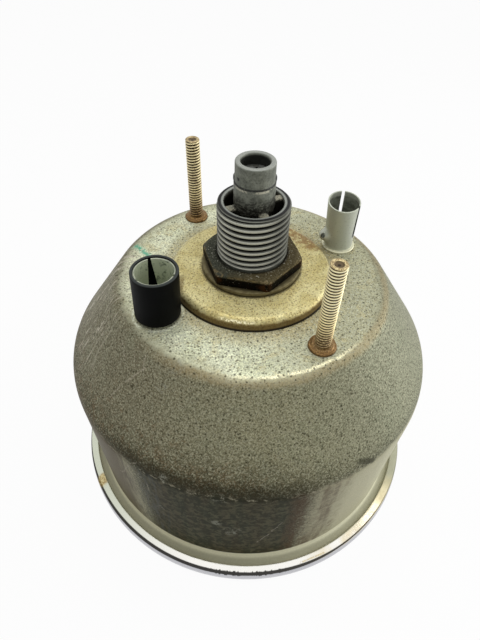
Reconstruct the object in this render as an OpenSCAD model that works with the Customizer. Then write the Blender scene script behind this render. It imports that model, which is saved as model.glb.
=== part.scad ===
// Cable-driven magnetic speedometer with a distance counter, lying on its front rim.
// The axis of the instrument is Z, the back faces up and the dial faces down.
// +Y is the top of the dial as it is read from the front.

/* [Case] */
// Height of the flat back above the front rim
case_h = 66; // [60:0.5:80]
// Thickness of the pressed steel of the case
case_metal = 0.8; // [0.6:0.1:1.2]
// Width of the back outside the dished plate, to where it would meet the cone without rounding
back_w = 12.7; // [12.2:0.1:14]
// Rounding between the flat back and the cone
back_round = 4.7; // [3:0.1:5.5]
// How far the shoulder stands out beyond the foot of the side wall, without rounding
shoulder_w = 1.4; // [0.3:0.1:2.3]
// How far the shoulder lies below the flat back
shoulder_drop = 21; // [16:0.5:25]
// Rounding of the shoulder
shoulder_round = 8; // [4:0.5:12]
// Rounding between the side wall and the lip
lip_round = 2; // [1.2:0.1:2.2]

/* [Bezel and glass] */
// Outer radius of the bezel
bezel_r = 50; // [49.5:0.1:52]
// Width of the bezel outside the foot of the side wall
rim_w = 4.8; // [4.5:0.1:6]
// Sheet thickness of the bezel
bezel_metal = 0.6; // [0.4:0.05:0.8]
// Gap between the rolled edge of the bezel and the rounding of the lip
crimp_gap = 0.1; // [0.1:0.05:1]
// How far the rolled edge reaches in over the rounding of the lip
crimp_over = 0.7; // [0:0.1:0.9]
// Rounding at the outer edge of the rolled edge
crimp_round = 1; // [0.8:0.05:1.2]
// Rounding at the front edge of the bezel
front_round = 3; // [2.5:0.1:3.2]
// Width of the front of the bezel from its inner edge to its outer edge
front_w = 6.1; // [5.6:0.1:6.5]
// Thickness of the rubber ring in front of the glass
seal_t = 0.9; // [0.7:0.05:1.2]
// Thickness of the glass
glass_t = 2; // [1.5:0.1:3]
// Thickness of the flange of the spacer ring
spacer_metal = 0.6; // [0.4:0.05:0.8]

/* [Dial and pointer] */
// Height of the printed face of the dial above the front rim
dial_z = 11; // [10.5:0.1:11.5]
// Thickness of the dial plate
dial_t = 0.8; // [0.5:0.05:1]
// Gap between the dial plate and the wall of the case
dial_gap = 0.9; // [0.6:0.1:1.4]
// Length of the dial pillars between the dial and the bridge
pillar_len = 4.2; // [4.2:0.1:6]
// Length of the pointer from its axis to its tip
pointer_len = 35; // [30:0.5:38]
// Length of the tail of the pointer
pointer_tail = 10; // [6:0.5:12]
// Width of the pointer at its hub
pointer_w = 3; // [2:0.1:4]
// Width of the pointer near its tip
pointer_tip_w = 1; // [0.6:0.1:2]
// Thickness of the pointer
pointer_t = 0.6; // [0.4:0.1:0.8]
// Radius of the cap on the pointer
cap_r = 4.5; // [3.5:0.1:6]
// Direction of the pointer at rest, anticlockwise from +X as seen from the back
rest_angle = -30; // [-40:1:-20]
// Distance of the rest pin from the axis
stop_r = 20; // [15:0.5:25]

/* [Cable connector] */
// Outer radius of the threaded sleeve
thread_r = 8; // [7.8:0.1:8.4]
// Wall of the threaded sleeve under its thread
neck_wall = 1.6; // [1.4:0.1:2]
// Height of the threaded sleeve above the flat back
sleeve_h = 20.1; // [18:0.1:22]
// Height of the centre tube above the flat back
tube_h = 29.3; // [27.5:0.1:32]
// Outer radius of the centre tube at its mouth
tube_r = 4.2; // [4:0.05:4.3]
// How far the wider band below the mouth stands out
band_step = 0.2; // [0.15:0.01:0.4]
// How far the neck of the centre tube lies inside its mouth's radius
neck_step = 0.15; // [0.05:0.01:0.3]
// Height of the top of the wider band above the flat back
band_top = 24.9; // [23.5:0.1:26]
// Height of the bottom of the wider band above the flat back
band_bottom = 18.5; // [17.5:0.1:22.5]
// Height of the webs between sleeve and tube above the flat back
web_top = 19; // [10:0.1:19.5]
// Width of one web
web_w = 2; // [1.5:0.1:3]
// Height of the floor between sleeve and tube above the flat back
well_floor = 3; // [2:0.1:5]
// Running bore of the drive shaft
shaft_bore_r = 2.95; // [2.8:0.01:3.1]
// Square hole for the end of the cable, across its flats
square_w = 2.7; // [2.5:0.1:3]
// Depth of the square hole
square_depth = 13; // [10:0.5:16]
// Turn of the webs about the axis
web_turn = -9.7; // [-45:0.1:45]
// How far the end of the drive shaft lies inside the mouth of the tube
shaft_recess = 2.5; // [1.5:0.1:4]

/* [Nut and plates on the back] */
// Width of the hexagonal nut across its flats
nut_af = 20.6; // [20:0.1:22]
// Thickness of the nut
nut_t = 3; // [2.5:0.1:4]
// Turn of the nut about the axis
nut_turn = 15.7; // [0:0.1:60]
// Outer radius of the washer under the nut
washer_r = 11.6; // [11:0.1:12.5]
// Thickness of the washer
washer_t = 1; // [0.8:0.1:1.5]
// Outer radius of the dished plate
plate_r = 19.4; // [18:0.1:20]
// Height of the dished plate
plate_h = 3; // [2.5:0.1:4]
// Sheet thickness of the dished plate
plate_metal = 1.2; // [1:0.1:1.5]
// Rounding of the rim of the dished plate
plate_round = 1.8; // [1.5:0.1:2]

/* [Studs] */
// Distance of each mounting stud's axis from the rim of the dished plate
stud_gap = 7.8; // [7.5:0.1:8]
// Thread radius of the mounting studs
stud_r = 1.75; // [1.4:0.05:1.9]
// Length of the studs above the flat back
stud_h = 22.2; // [15:0.1:30]
// Radius of the collar at the foot of a stud
stud_collar_r = 3.1; // [2.8:0.1:3.4]
// Thickness of the collar
stud_collar_t = 1; // [0.6:0.1:1.4]

/* [Lamp holders] */
// Distance of each lamp holder's axis from the rim of the dished plate
lamp_gap = 5.6; // [5.4:0.05:5.8]
// How much farther out the bare lamp holder stands
lamp_a_out = 0.4; // [0:0.05:0.4]
// Direction of the bare lamp holder
lamp_a_angle = -4.7; // [-8:0.1:8]
// Direction of the lamp holder with the sleeve
lamp_b_angle = 181.9; // [172:0.1:188]
// Outer radius of a lamp holder at its foot
lamp_foot_r = 3.55; // [3.5:0.01:3.6]
// How much wider in radius the bare lamp holder is at its mouth
lamp_flare = 0.38; // [0.2:0.01:0.6]
// How much wider in radius the sleeved lamp holder is at its mouth
lamp_spread = 0.85; // [0.5:0.01:0.9]
// Wall of a lamp holder
lamp_wall = 0.35; // [0.3:0.01:0.4]
// Height of a lamp holder above the flat back
lamp_h = 12.2; // [10:0.1:15]
// Width of the slots in a lamp holder
lamp_slot_w = 0.8; // [0.5:0.1:1.2]
// Width of the collar at the foot of a lamp holder
lamp_collar_w = 0.6; // [0.5:0.01:0.65]
// Thickness of the collar
lamp_collar_t = 0.5; // [0.3:0.05:0.7]
// Wall of the plastic sleeve
sleeve_wall = 0.65; // [0.5:0.05:0.8]

/* [Movement] */
// Gap between the wheel on the upright shaft and the side plate
side_gap = 0.75; // [0.5:0.05:1]
// Thickness of the side plates
side_t = 3; // [2.5:0.1:3.2]
// Radius of the flange of the connector inside the case
flange_r = 13; // [12.5:0.1:14]
// Thickness of that flange
flange_t = 3; // [2.5:0.1:3.5]
// Thickness of the floor of the frame
floor_t = 2.5; // [2:0.1:3]
// Distance of the frame screws from the axis
frame_screw_pitch_r = 9.8; // [9.6:0.1:10.2]
// Thickness of the bridge
bridge_t = 1.5; // [1.2:0.1:1.8]
// Radius of the magnet
magnet_r = 9; // [8:0.1:9.3]
// Thickness of the magnet
magnet_t = 6; // [5:0.1:6.5]
// Radius of the spindle
spindle_r = 0.7; // [0.6:0.05:0.8]
// Gap between the magnet and the drag cup
cup_gap = 0.8; // [0.5:0.05:1]
// Wall of the drag cup
cup_wall = 0.5; // [0.4:0.05:0.6]
// Gap between the drag cup and the field ring
field_gap = 0.7; // [0.5:0.05:0.9]
// Wall of the field ring
field_wall = 1.2; // [1:0.1:1.5]
// Turns of the hairspring
spring_turns = 5; // [3:1:6]
// Thickness of the hairspring strip
spring_strip = 0.2; // [0.15:0.05:0.25]

/* [Gears and counter] */
// Outer radius of the worm on the drive shaft
worm_r = 3.4; // [3.2:0.05:3.6]
// Outer radius of the wheel on the cross shaft
wheel_a_r = 7; // [6.5:0.1:7.2]
// Teeth of the wheel on the cross shaft
wheel_a_teeth = 20; // [16:1:24]
// Outer radius of the worms on the cross shaft and on the upright shaft
small_worm_r = 2; // [1.8:0.05:2.1]
// Outer radius of the wheel on the upright shaft
wheel_b_r = 4.4; // [4:0.1:4.5]
// Teeth of the wheel on the upright shaft
wheel_b_teeth = 25; // [20:1:30]
// Radius of the number drums and of their drive gear
drum_r = 6; // [5.5:0.1:6.1]
// Teeth of the drive gear of the drums
drum_teeth = 20; // [16:1:24]
// Width of one number drum with its gap
drum_pitch = 4; // [3.6:0.1:4.1]
// Radius of the shafts of the gears and of the drum axle
pin_r = 1; // [0.9:0.05:1.1]
// Outer radius of the transfer pinions
pinion_r = 2.2; // [2:0.05:2.3]
// Teeth of a transfer pinion
pinion_teeth = 8; // [6:1:10]

/* [Clearances] */
// Radial clearance between a turning shaft and its bearing
run_gap = 0.05; // [0.03:0.01:0.08]
// Radial clearance of pieces that are pressed or screwed together
seat_gap = 0.02; // [0.01:0.01:0.04]
// Radial clearance of a hole that a fixed piece passes through
hole_gap = 0.15; // [0.1:0.05:0.2]
// Gap between the tips of a gear and its worm
mesh_gap = 0.15; // [0.1:0.01:0.2]

/* [Hidden] */
$fn = 96;
eps = 0.01;
arc_steps = 6;

// Heights of the stack under the rolled edge, from the front up
seal_z = bezel_metal;
glass_z = seal_z + seal_t;
spacer_z = glass_z + glass_t;
lip_z = spacer_z + spacer_metal;
crimp_z = lip_z + case_metal;
bezel_top = crimp_z + bezel_metal;

// Radii of the case and of the stack
foot_r = bezel_r - rim_w;
shoulder_r = foot_r + shoulder_w;
back_r = plate_r + back_w;
dial_r = foot_r - case_metal - dial_gap;
view_r = bezel_r - front_w;
bezel_inner_r = bezel_r - bezel_metal;
front_arc_r = bezel_r - front_round;
lip_room = 0.7;
lip_r = bezel_inner_r - lip_room;
glass_r = lip_r - 0.1;
front_flat_w = 1.6;
seal_edge = 0.1;
view_gap = 0.2;
view_turn = 0.4;
view_turn_h = 0.7;
front_flat_in = front_arc_r - front_flat_w;
spacer_in = 1.4;
spacer_foot_w = 0.5;
lip_in_r = foot_r + lip_round + crimp_gap;
over_rounding = crimp_over - crimp_gap;
crimp_edge_z = crimp_z + crimp_gap + lip_round - sqrt(pow(lip_round, 2) - pow(over_rounding, 2));

// Places on the back
back_in = case_h - case_metal;
stud_pitch_r = plate_r + stud_gap;
lamp_pitch_r = plate_r + lamp_gap;
sleeve_bore_r = thread_r - neck_wall;
tube_band_r = tube_r + band_step;
tube_neck_r = tube_r - neck_step;
neck_hole_r = thread_r + hole_gap;
plate_top = case_h + plate_h;
washer_top = plate_top + washer_t;
nut_top = washer_top + nut_t;
shank_r = thread_r - 0.2;
free_thread_z = nut_top + 0.3;
tube_top = case_h + tube_h;
stud_neck_r = stud_r + 0.25;
stud_hole_r = stud_neck_r + hole_gap / 3;
stud_head_r = stud_hole_r + 0.35;
stud_head_t = 1.2;
lamp_hole_r = lamp_foot_r + hole_gap / 3;
lamp_mouth_r = lamp_foot_r + lamp_flare;
lamp_spread_r = lamp_foot_r + lamp_spread;
lamp_collar_r = lamp_foot_r + lamp_collar_w;
lamp_top = case_h + lamp_h;
bare_slots = [60, 300];
sleeved_slots = [73, 193, 313];
slot_foot = 4.5;
bump_r = 1.7;
bump_z = 3.4;
bump_turn = -20;
bump_hole_r = 0.5;
sleeve_inner_r = lamp_spread_r + 0.05;
sleeve_outer_r = sleeve_inner_r + sleeve_wall;

// The connector, the frame and what stands on it
shaft_end_gap = 0.3;
flange_z = back_in - flange_t;
floor_z = flange_z - floor_t;
bush_len = 7;
bush_out_r = 4.2;
hub_r = 6.5;
hub_len = 6.2;
bush_z = flange_z - hub_len;
frame_screw_r = 1.25;
frame_screw_head_r = 2.2;
frame_screw_head_t = 1.4;
frame_screw_grip = 2;
frame_screw_angles = [30, 150, 270];
dial_back = dial_z + dial_t;
bridge_z = dial_back + pillar_len;
gear_w = 3;
drum_gap = 0.3;
drums_end_x = 2.5 * drum_pitch - drum_gap / 2;
upright_x = -drums_end_x - gear_w / 2;
side_x = -upright_x + wheel_b_r + side_gap;
side_out_x = side_x + side_t;
side_mid_x = side_x + side_t / 2;
side_high_y = 8;
side_low_y = -22;
side_front_z = bridge_z + bridge_t;
bearing_margin = 4.5;
pillar_y = 4;
pillar_r = 2.2;
pillar_boss_r = 3;
pillar_boss_h = 12;
pillar_shank_r = 1.2;
pillar_shank_len = 7;
screw_r = 0.9;
screw_head_r = 2;
screw_head_t = 0.8;
screw_len = 3.5;
screw_slot_w = 0.6;

// The shaft, the magnet and the cup
shaft_r = shaft_bore_r - run_gap;
shaft_top = tube_top - shaft_recess;
collar_top = bush_z - shaft_end_gap;
collar_r = 4.2;
collar_t = 2.2;
magnet_z = side_front_z + 8;
magnet_top = magnet_z + magnet_t;
magnet_seat_r = 2;
magnet_stop_r = 3;
worm_len = 14;
worm_rise = 1.25;
worm_z = (magnet_top + bush_z) / 2 + worm_rise;
cup_inner_r = magnet_r + cup_gap;
field_r = cup_inner_r + cup_wall + field_gap;
cup_face_gap = 1;
cup_face_z = magnet_z - cup_face_gap - cup_wall;
cup_over = 0.5;
cup_len = magnet_top + cup_over - cup_face_z;
cup_hub_len = 2;
field_z = cup_face_z - cup_over;
field_len = cup_len + 4 * cup_over;
ear_w = 6;
ear_t = 4;
pivot_depth = 2;
pointer_rise = 3.4;
pointer_z = dial_z - pointer_rise;
spindle_end = 0.2;
spindle_bottom = pointer_z - spindle_end;
bearing_r = 2;
bearing_front = 1.2;
collet_r = 1.8;
collet_t = 1.4;
collet_z = dial_back + 0.8;
spring_h = 0.8;
spring_z = collet_z + (collet_t - spring_h) / 2;
spring_in_r = collet_r + spring_strip / 2;
spring_pitch = 0.8;
spring_out_r = spring_in_r + spring_turns * spring_pitch;
lever_pin_r = 0.5;
lever_t = 0.6;
lever_z = bridge_z - lever_t;
lever_pin_x = spring_out_r + spring_strip / 2 + lever_pin_r;
lever_eye_r = bearing_r + 1.6;
lever_w = 2;

// The pointer
cap_z = pointer_z - 2;
stop_pin_r = 0.6;
pointer_half_at_stop = (pointer_w + (pointer_tip_w - pointer_w) * stop_r / pointer_len) / 2;
stop_offset = asin((pointer_half_at_stop + stop_pin_r + 0.1) / stop_r);

// The gear train and the counter
cross_y = -(worm_r + wheel_a_r + mesh_gap);
cross_z = worm_z;
wheel_a_w = 4;
upright_y = cross_y - (small_worm_r + wheel_b_r + mesh_gap);
counter_y = upright_y - (small_worm_r + drum_r + mesh_gap);
counter_low_y = counter_y - bearing_margin;
counter_z = dial_back + drum_r + 1.2;
wheel_b_w = 3;
small_worm_len = 5;
lug_t = 2;
lug_w = 7;
lug_high_z = cross_z + small_worm_len;
lug_low_z = counter_z + small_worm_len + 0.4;
upright_bottom = counter_z - 0.8 * small_worm_len;
pinion_z = counter_z + drum_r + pinion_r + mesh_gap;
pinion_w = 2.4;
pinion_pin_r = 0.8;
drum_w = drum_pitch - drum_gap;
drum_spacer_r = 1.8;
window_w = 5 * drum_pitch + 0.4;
window_h = 6;

// Unit vector in the direction of an angle
function unit(a) = [cos(a), sin(a)];

// Unit normal on the right of the line from p to q
function normal_of(p, q) = let (d = (q - p) / norm(q - p)) [d.y, -d.x];

// The line of points p moved sideways by d, with mitred corners
function beside(p, d) = [
    for (i = [0 : len(p) - 1])
        let (
            n1 = normal_of(p[max(i - 1, 0)], p[max(i, 1)]),
            n2 = normal_of(p[min(i, len(p) - 2)], p[min(i + 1, len(p) - 1)])
        )
        p[i] + d * (n1 + n2) / (1 + n1 * n2)
];

// The corner at p1 between p0 and p2, rounded with radius r by a row of points
function rounded_corner(p0, p1, p2, r) =
    let (
        a = (p0 - p1) / norm(p0 - p1),
        b = (p2 - p1) / norm(p2 - p1),
        half = acos(a * b) / 2,
        c = p1 + (a + b) / norm(a + b) * r / sin(half),
        u = p1 + a * r / tan(half) - c,
        v = p1 + b * r / tan(half) - c,
        turn = acos(u * v / (r * r)),
        side = sign(u.x * v.y - u.y * v.x)
    )
    [
        for (k = [0 : arc_steps])
            let (t = side * turn * k / arc_steps)
            c + [u.x * cos(t) - u.y * sin(t), u.x * sin(t) + u.y * cos(t)]
    ];

// A line of points with rounded inner corners
function rounded_line(p, radii) = [
    p[0],
    for (i = [1 : len(p) - 2])
        each rounded_corner(p[i - 1], p[i], p[i + 1], radii[i - 1]),
    p[len(p) - 1]
];

// Points on an arc about c, from angle a to angle b
function arc(c, r, a, b) = [
    for (k = [0 : arc_steps]) c + r * unit(a + (b - a) * k / arc_steps)
];

function backwards(p) = [for (i = [len(p) - 1 : -1 : 0]) p[i]];

// Outline of the case, d below its outer surface, from the neck to the edge of the lip
case_line = [
    [neck_hole_r, case_h],
    [back_r, case_h],
    [shoulder_r, case_h - shoulder_drop],
    [foot_r, crimp_z],
    [lip_r, crimp_z]
];
function case_side(d) = rounded_line(
    beside(case_line, d),
    [back_round - d, shoulder_round - d, lip_round + d]
);

module ring(r_out, r_in, h) {
    difference() {
        cylinder(r = r_out, h = h);
        translate([0, 0, -eps]) cylinder(r = r_in, h = h + 2 * eps);
    }
}

module at_studs() {
    for (s = [1, -1]) translate([0, s * stud_pitch_r, 0]) children();
}

module at_pillars() {
    for (s = [1, -1]) translate([s * side_mid_x, pillar_y, 0]) children();
}

module at_lamp(angle, out = 0) {
    rotate([0, 0, angle]) translate([lamp_pitch_r + out, 0, 0]) rotate([0, 0, -angle]) children();
}

// Tool that cuts a round hole through the flat back
module back_hole(r) {
    translate([0, 0, back_in - 1]) cylinder(r = r, h = case_metal + 2);
}

// A shaft or wheel that lies along X
module along_x(x = 0, y = 0, z = 0) {
    translate([x, y, z]) rotate([0, 90, 0]) children();
}

module case() {
    color("#8b8a72")
    difference() {
        rotate_extrude() polygon(concat(case_side(0), backwards(case_side(case_metal))));
        at_studs() back_hole(stud_hole_r);
        at_lamp(lamp_a_angle, lamp_a_out) back_hole(lamp_hole_r);
        at_lamp(lamp_b_angle) back_hole(lamp_hole_r);
    }
}

module bezel() {
    wall = bezel_metal;
    view_top = glass_z - view_gap;
    turn_in = view_turn / 2;
    outside = concat(
        [[view_r, view_top], [view_r + view_turn, view_turn_h], [front_flat_in, 0]],
        arc([front_arc_r, front_round], front_round, -90, 0),
        arc([bezel_r - crimp_round, bezel_top - crimp_round], crimp_round, 0, 90),
        [[lip_in_r - crimp_over, bezel_top], [lip_in_r - crimp_over, crimp_edge_z], [lip_in_r, crimp_z]]
    );
    inside = concat(
        [
            [view_r + wall, view_top], [view_r + wall + turn_in, view_turn_h + wall / 2],
            [front_flat_in + turn_in, wall]
        ],
        arc([front_arc_r, front_round], front_round - wall, -90, 0),
        arc([bezel_r - crimp_round, bezel_top - crimp_round], crimp_round - wall, 0, 90)
    );
    color("#d9dadb") rotate_extrude() polygon(concat(outside, backwards(inside)));
}

module glass() {
    color("#cfe0e2", 0.4) translate([0, 0, glass_z]) cylinder(r = glass_r, h = glass_t);
}

module glass_seal() {
    color("#202020") translate([0, 0, seal_z])
        ring(front_arc_r - seal_edge, front_flat_in + 3 * seal_edge, seal_t);
}

module spacer_ring() {
    top = lip_z;
    color("#1c1c1c")
    rotate_extrude() polygon([
        [glass_r, spacer_z], [dial_r - spacer_metal / 2, spacer_z],
        [dial_r - spacer_in - spacer_foot_w, dial_z], [dial_r - spacer_in, dial_z],
        [dial_r + spacer_metal / 2, top], [glass_r, top]
    ]);
}

module dial() {
    color("#17181a") translate([0, 0, dial_z]) difference() {
        cylinder(r = dial_r, h = dial_t);
        translate([0, 0, -1]) cylinder(r = collet_r + 1.2, h = dial_t + 2);
        at_pillars() translate([0, 0, -1]) cylinder(r = screw_r + hole_gap, h = dial_t + 2);
        translate([-window_w / 2, counter_y - window_h / 2, -1]) cube([window_w, window_h, dial_t + 2]);
        rotate([0, 0, rest_angle - stop_offset]) translate([stop_r, 0, -1])
            cylinder(r = stop_pin_r + seat_gap, h = dial_t + 2);
    }
}

module dial_screws() {
    color("#2a2a2a") at_pillars() difference() {
        union() {
            translate([0, 0, dial_z - screw_head_t]) cylinder(r = screw_head_r, h = screw_head_t);
            translate([0, 0, dial_z - eps]) cylinder(r = screw_r, h = screw_len + eps);
        }
        translate([-screw_head_r - 1, -screw_slot_w / 2, dial_z - 1.5 * screw_head_t])
            cube([2 * screw_head_r + 2, screw_slot_w, screw_head_t]);
    }
}

module dial_pillars() {
    color("#b9a15c") at_pillars() difference() {
        union() {
            translate([0, 0, dial_back]) cylinder(r = pillar_r, h = bridge_z - dial_back, $fn = 6);
            translate([0, 0, bridge_z - eps]) cylinder(r = pillar_shank_r, h = pillar_shank_len);
        }
        translate([0, 0, dial_back - 1]) cylinder(r = screw_r + seat_gap, h = screw_len + 1);
    }
}

// Side plate seen along X: foot on the floor, counter bearings at the low front corner
module side_plate() {
    profile = [
        [side_high_y, floor_z + 1], [side_low_y, floor_z + 1],
        [side_low_y, pinion_z + 1.4 * bearing_margin], [counter_low_y, pinion_z + bearing_margin],
        [counter_low_y, counter_z - bearing_margin], [-side_high_y, counter_z - bearing_margin],
        [-side_high_y, side_front_z], [side_high_y, side_front_z]
    ];
    rotate([90, 0, 90]) linear_extrude(side_t) polygon(profile);
}

module lug(z) {
    reach = side_x + upright_x + lug_w / 2 + 0.5;
    translate([-side_x - eps, upright_y - lug_w / 2, z]) cube([reach + eps, lug_w, lug_t]);
}

module at_frame_screws() {
    for (a = frame_screw_angles) rotate([0, 0, a]) translate([frame_screw_pitch_r, 0, 0]) children();
}

// Threaded sleeve, flange and hub, before the well between sleeve and tube is cut
module connector_solid() {
    bevel = 0.6;
    translate([0, 0, flange_z]) cylinder(r = flange_r, h = flange_t);
    translate([0, 0, bush_z]) cylinder(r = hub_r, h = hub_len + eps);
    thread_end = case_h + sleeve_h - bevel;
    translate([0, 0, back_in - eps]) cylinder(r = shank_r, h = free_thread_z - back_in + 2 * eps);
    translate([0, 0, free_thread_z]) cylinder(r = thread_r, h = thread_end - free_thread_z);
    translate([0, 0, thread_end]) cylinder(r1 = thread_r, r2 = thread_r - bevel, h = bevel);
}

// Tube in the middle of the connector, from the floor of the well up
module centre_tube() {
    bevel = 0.4;
    band_low = band_bottom - well_floor;
    band_high = band_top - well_floor;
    mouth = tube_h - well_floor;
    cylinder(r = tube_neck_r, h = band_low + eps);
    translate([0, 0, band_low]) cylinder(r = tube_band_r, h = band_high - band_low);
    translate([0, 0, band_high]) cylinder(r = tube_r, h = mouth - band_high - bevel);
    translate([0, 0, mouth - bevel]) cylinder(r1 = tube_r, r2 = tube_r - bevel, h = bevel);
}

module connector() {
    bevel = 0.4;
    color("#8d9092")
    difference() {
        union() {
            difference() {
                connector_solid();
                translate([0, 0, case_h + well_floor]) cylinder(r = sleeve_bore_r, h = sleeve_h);
            }
            translate([0, 0, case_h + well_floor - eps]) centre_tube();
            for (a = [0, 90]) rotate([0, 0, a + web_turn])
                translate([-sleeve_bore_r - 0.5, -web_w / 2, case_h + well_floor - eps])
                    cube([2 * sleeve_bore_r + 1, web_w, web_top - well_floor + eps]);
        }
        translate([0, 0, bush_z - 1]) cylinder(r = shaft_bore_r, h = tube_top - bush_z + 2);
        translate([0, 0, tube_top - bevel])
            cylinder(r1 = shaft_bore_r, r2 = shaft_bore_r + bevel, h = bevel + eps);
        translate([0, 0, bush_z - 1]) cylinder(r = bush_out_r + seat_gap, h = bush_len + 1);
        at_frame_screws() translate([0, 0, flange_z - 1])
            cylinder(r = frame_screw_r + seat_gap, h = frame_screw_grip + 1);
    }
}

module frame() {
    color("#9a9c9a")
    difference() {
        union() {
            translate([-side_out_x, side_low_y, floor_z])
                cube([2 * side_out_x, side_high_y - side_low_y, floor_t]);
            for (x = [side_x, -side_out_x]) translate([x, 0, 0]) side_plate();
            at_pillars() translate([0, 0, side_front_z]) cylinder(r = pillar_boss_r, h = pillar_boss_h);
            lug(lug_high_z);
            lug(lug_low_z);
        }
        translate([0, 0, floor_z - 1]) cylinder(r = hub_r + hole_gap, h = floor_t + 2);
        at_frame_screws() translate([0, 0, floor_z - 1])
            cylinder(r = frame_screw_r + hole_gap, h = floor_t + 2);
        along_x(-side_out_x - 1, cross_y, cross_z) cylinder(r = pin_r + run_gap, h = 2 * side_out_x + 2);
        along_x(-side_out_x - 1, counter_y, counter_z)
            cylinder(r = pin_r + seat_gap, h = 2 * side_out_x + 2);
        along_x(-side_out_x - 1, counter_y, pinion_z)
            cylinder(r = pinion_pin_r + seat_gap, h = 2 * side_out_x + 2);
        translate([upright_x, upright_y, lug_low_z - 1])
            cylinder(r = pin_r + run_gap, h = lug_high_z - lug_low_z + lug_t + 2);
        at_pillars() translate([0, 0, side_front_z - 1])
            cylinder(r = pillar_shank_r + seat_gap, h = pillar_shank_len);
    }
}

module frame_screws() {
    color("#77797a") at_frame_screws() difference() {
        union() {
            translate([0, 0, floor_z - frame_screw_head_t])
                cylinder(r = frame_screw_head_r, h = frame_screw_head_t);
            translate([0, 0, floor_z - eps]) cylinder(r = frame_screw_r, h = floor_t + frame_screw_grip);
        }
        translate([-frame_screw_head_r - 1, -screw_slot_w / 2, floor_z - 1.5 * frame_screw_head_t])
            cube([2 * frame_screw_head_r + 2, screw_slot_w, frame_screw_head_t]);
    }
}

module bridge() {
    color("#a8acae") difference() {
        translate([-side_out_x, -side_high_y, bridge_z])
            cube([2 * side_out_x, 2 * side_high_y, bridge_t]);
        translate([0, 0, bridge_z - 1]) cylinder(r = bearing_r + seat_gap, h = bridge_t + 2);
        at_pillars() translate([0, 0, bridge_z - 1])
            cylinder(r = pillar_shank_r + hole_gap, h = bridge_t + 2);
    }
}

module shaft_bush() {
    color("#9c7a3c") translate([0, 0, bush_z]) ring(bush_out_r, shaft_bore_r, bush_len);
}

module connector_nut() {
    nut_r = nut_af / 2 / cos(30);
    color("#33302c") translate([0, 0, washer_top]) difference() {
        intersection() {
            rotate([0, 0, nut_turn]) cylinder(r = nut_r, h = nut_t, $fn = 6);
            union() {
                cylinder(r = nut_r + 1, h = nut_t - 0.7);
                translate([0, 0, nut_t - 0.7]) cylinder(r1 = nut_r, r2 = nut_r - 1.3, h = 0.7);
            }
        }
        translate([0, 0, -1]) cylinder(r = shank_r + seat_gap, h = nut_t + 2);
    }
}

module lock_washer() {
    color("#6e6656") translate([0, 0, plate_top]) ring(washer_r, thread_r + hole_gap, washer_t);
}

module dished_plate() {
    line = [[neck_hole_r, plate_top], [plate_r - 0.6, plate_top - 0.4], [plate_r, case_h]];
    out = rounded_line(line, [plate_round]);
    inner = rounded_line(beside(line, plate_metal), [plate_round - plate_metal]);
    color("#b3a468") rotate_extrude() intersection() {
        polygon(concat(out, backwards(inner)));
        translate([0, case_h]) square([plate_r + 1, plate_h + 1]);
    }
}

module mounting_studs() {
    bevel = 0.4;
    color("#9a7b4c") at_studs() {
        translate([0, 0, back_in - stud_head_t]) cylinder(r = stud_head_r, h = stud_head_t);
        translate([0, 0, back_in - eps]) cylinder(r = stud_neck_r, h = case_metal + 2 * eps);
        translate([0, 0, case_h]) cylinder(r = stud_collar_r, h = stud_collar_t);
        translate([0, 0, case_h + eps]) cylinder(r = stud_r, h = stud_h - bevel - eps);
        translate([0, 0, case_h + stud_h - bevel]) cylinder(r1 = stud_r, r2 = stud_r - bevel, h = bevel);
    }
}

// Split tube on two collars, widening from its foot to its mouth
module lamp_holder(mouth_r, slots) {
    low = back_in - lamp_collar_t;
    straight = case_h + 2;
    difference() {
        rotate_extrude() polygon([
            [lamp_foot_r - lamp_wall, low], [lamp_collar_r, low], [lamp_collar_r, back_in],
            [lamp_foot_r, back_in], [lamp_foot_r, case_h], [lamp_collar_r, case_h],
            [lamp_collar_r, case_h + lamp_collar_t], [lamp_foot_r, case_h + lamp_collar_t],
            [lamp_foot_r, straight], [mouth_r, lamp_top], [mouth_r - lamp_wall, lamp_top],
            [lamp_foot_r - lamp_wall, straight]
        ]);
        for (a = slots) rotate([0, 0, a])
            translate([0, -lamp_slot_w / 2, case_h + slot_foot])
                cube([mouth_r + 1, lamp_slot_w, lamp_h]);
    }
}

// Outward dimple with a small hole, near the foot of the bare lamp holder
module lamp_dimple() {
    rotate([0, 0, bump_turn]) difference() {
        translate([-lamp_foot_r, 0, case_h + bump_z]) sphere(r = bump_r);
        translate([0, 0, case_h]) cylinder(r = lamp_foot_r - lamp_wall / 2, h = lamp_h);
        translate([-lamp_foot_r - bump_r - 1, 0, case_h + bump_z]) rotate([0, 90, 0])
            cylinder(r = bump_hole_r, h = bump_r + 2);
    }
}

module lamp_holder_bare() {
    color("#8f9488") at_lamp(lamp_a_angle, lamp_a_out) {
        lamp_holder(lamp_mouth_r, bare_slots);
        lamp_dimple();
    }
}

module lamp_holder_sleeved() {
    color("#8f9488") at_lamp(lamp_b_angle)
        lamp_holder(lamp_spread_r, sleeved_slots);
}

module lamp_sleeve() {
    low = case_h + lamp_collar_t + 0.1;
    color("#161616") at_lamp(lamp_b_angle) translate([0, 0, low])
        ring(sleeve_outer_r, sleeve_inner_r, lamp_top + 0.3 - low);
}

// Worm drawn as a row of rings with slanting sides
module worm(r, length, pitch) {
    root = r * 0.72;
    count = floor(length / pitch);
    rotate_extrude() polygon(concat(
        [[0, 0]],
        [for (k = [0 : count - 1]) each [
            [root, k * pitch], [r, k * pitch + pitch * 0.3],
            [r, k * pitch + pitch * 0.55], [root, k * pitch + pitch * 0.85]
        ]],
        [[root, count * pitch], [0, count * pitch]]
    ));
}

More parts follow.
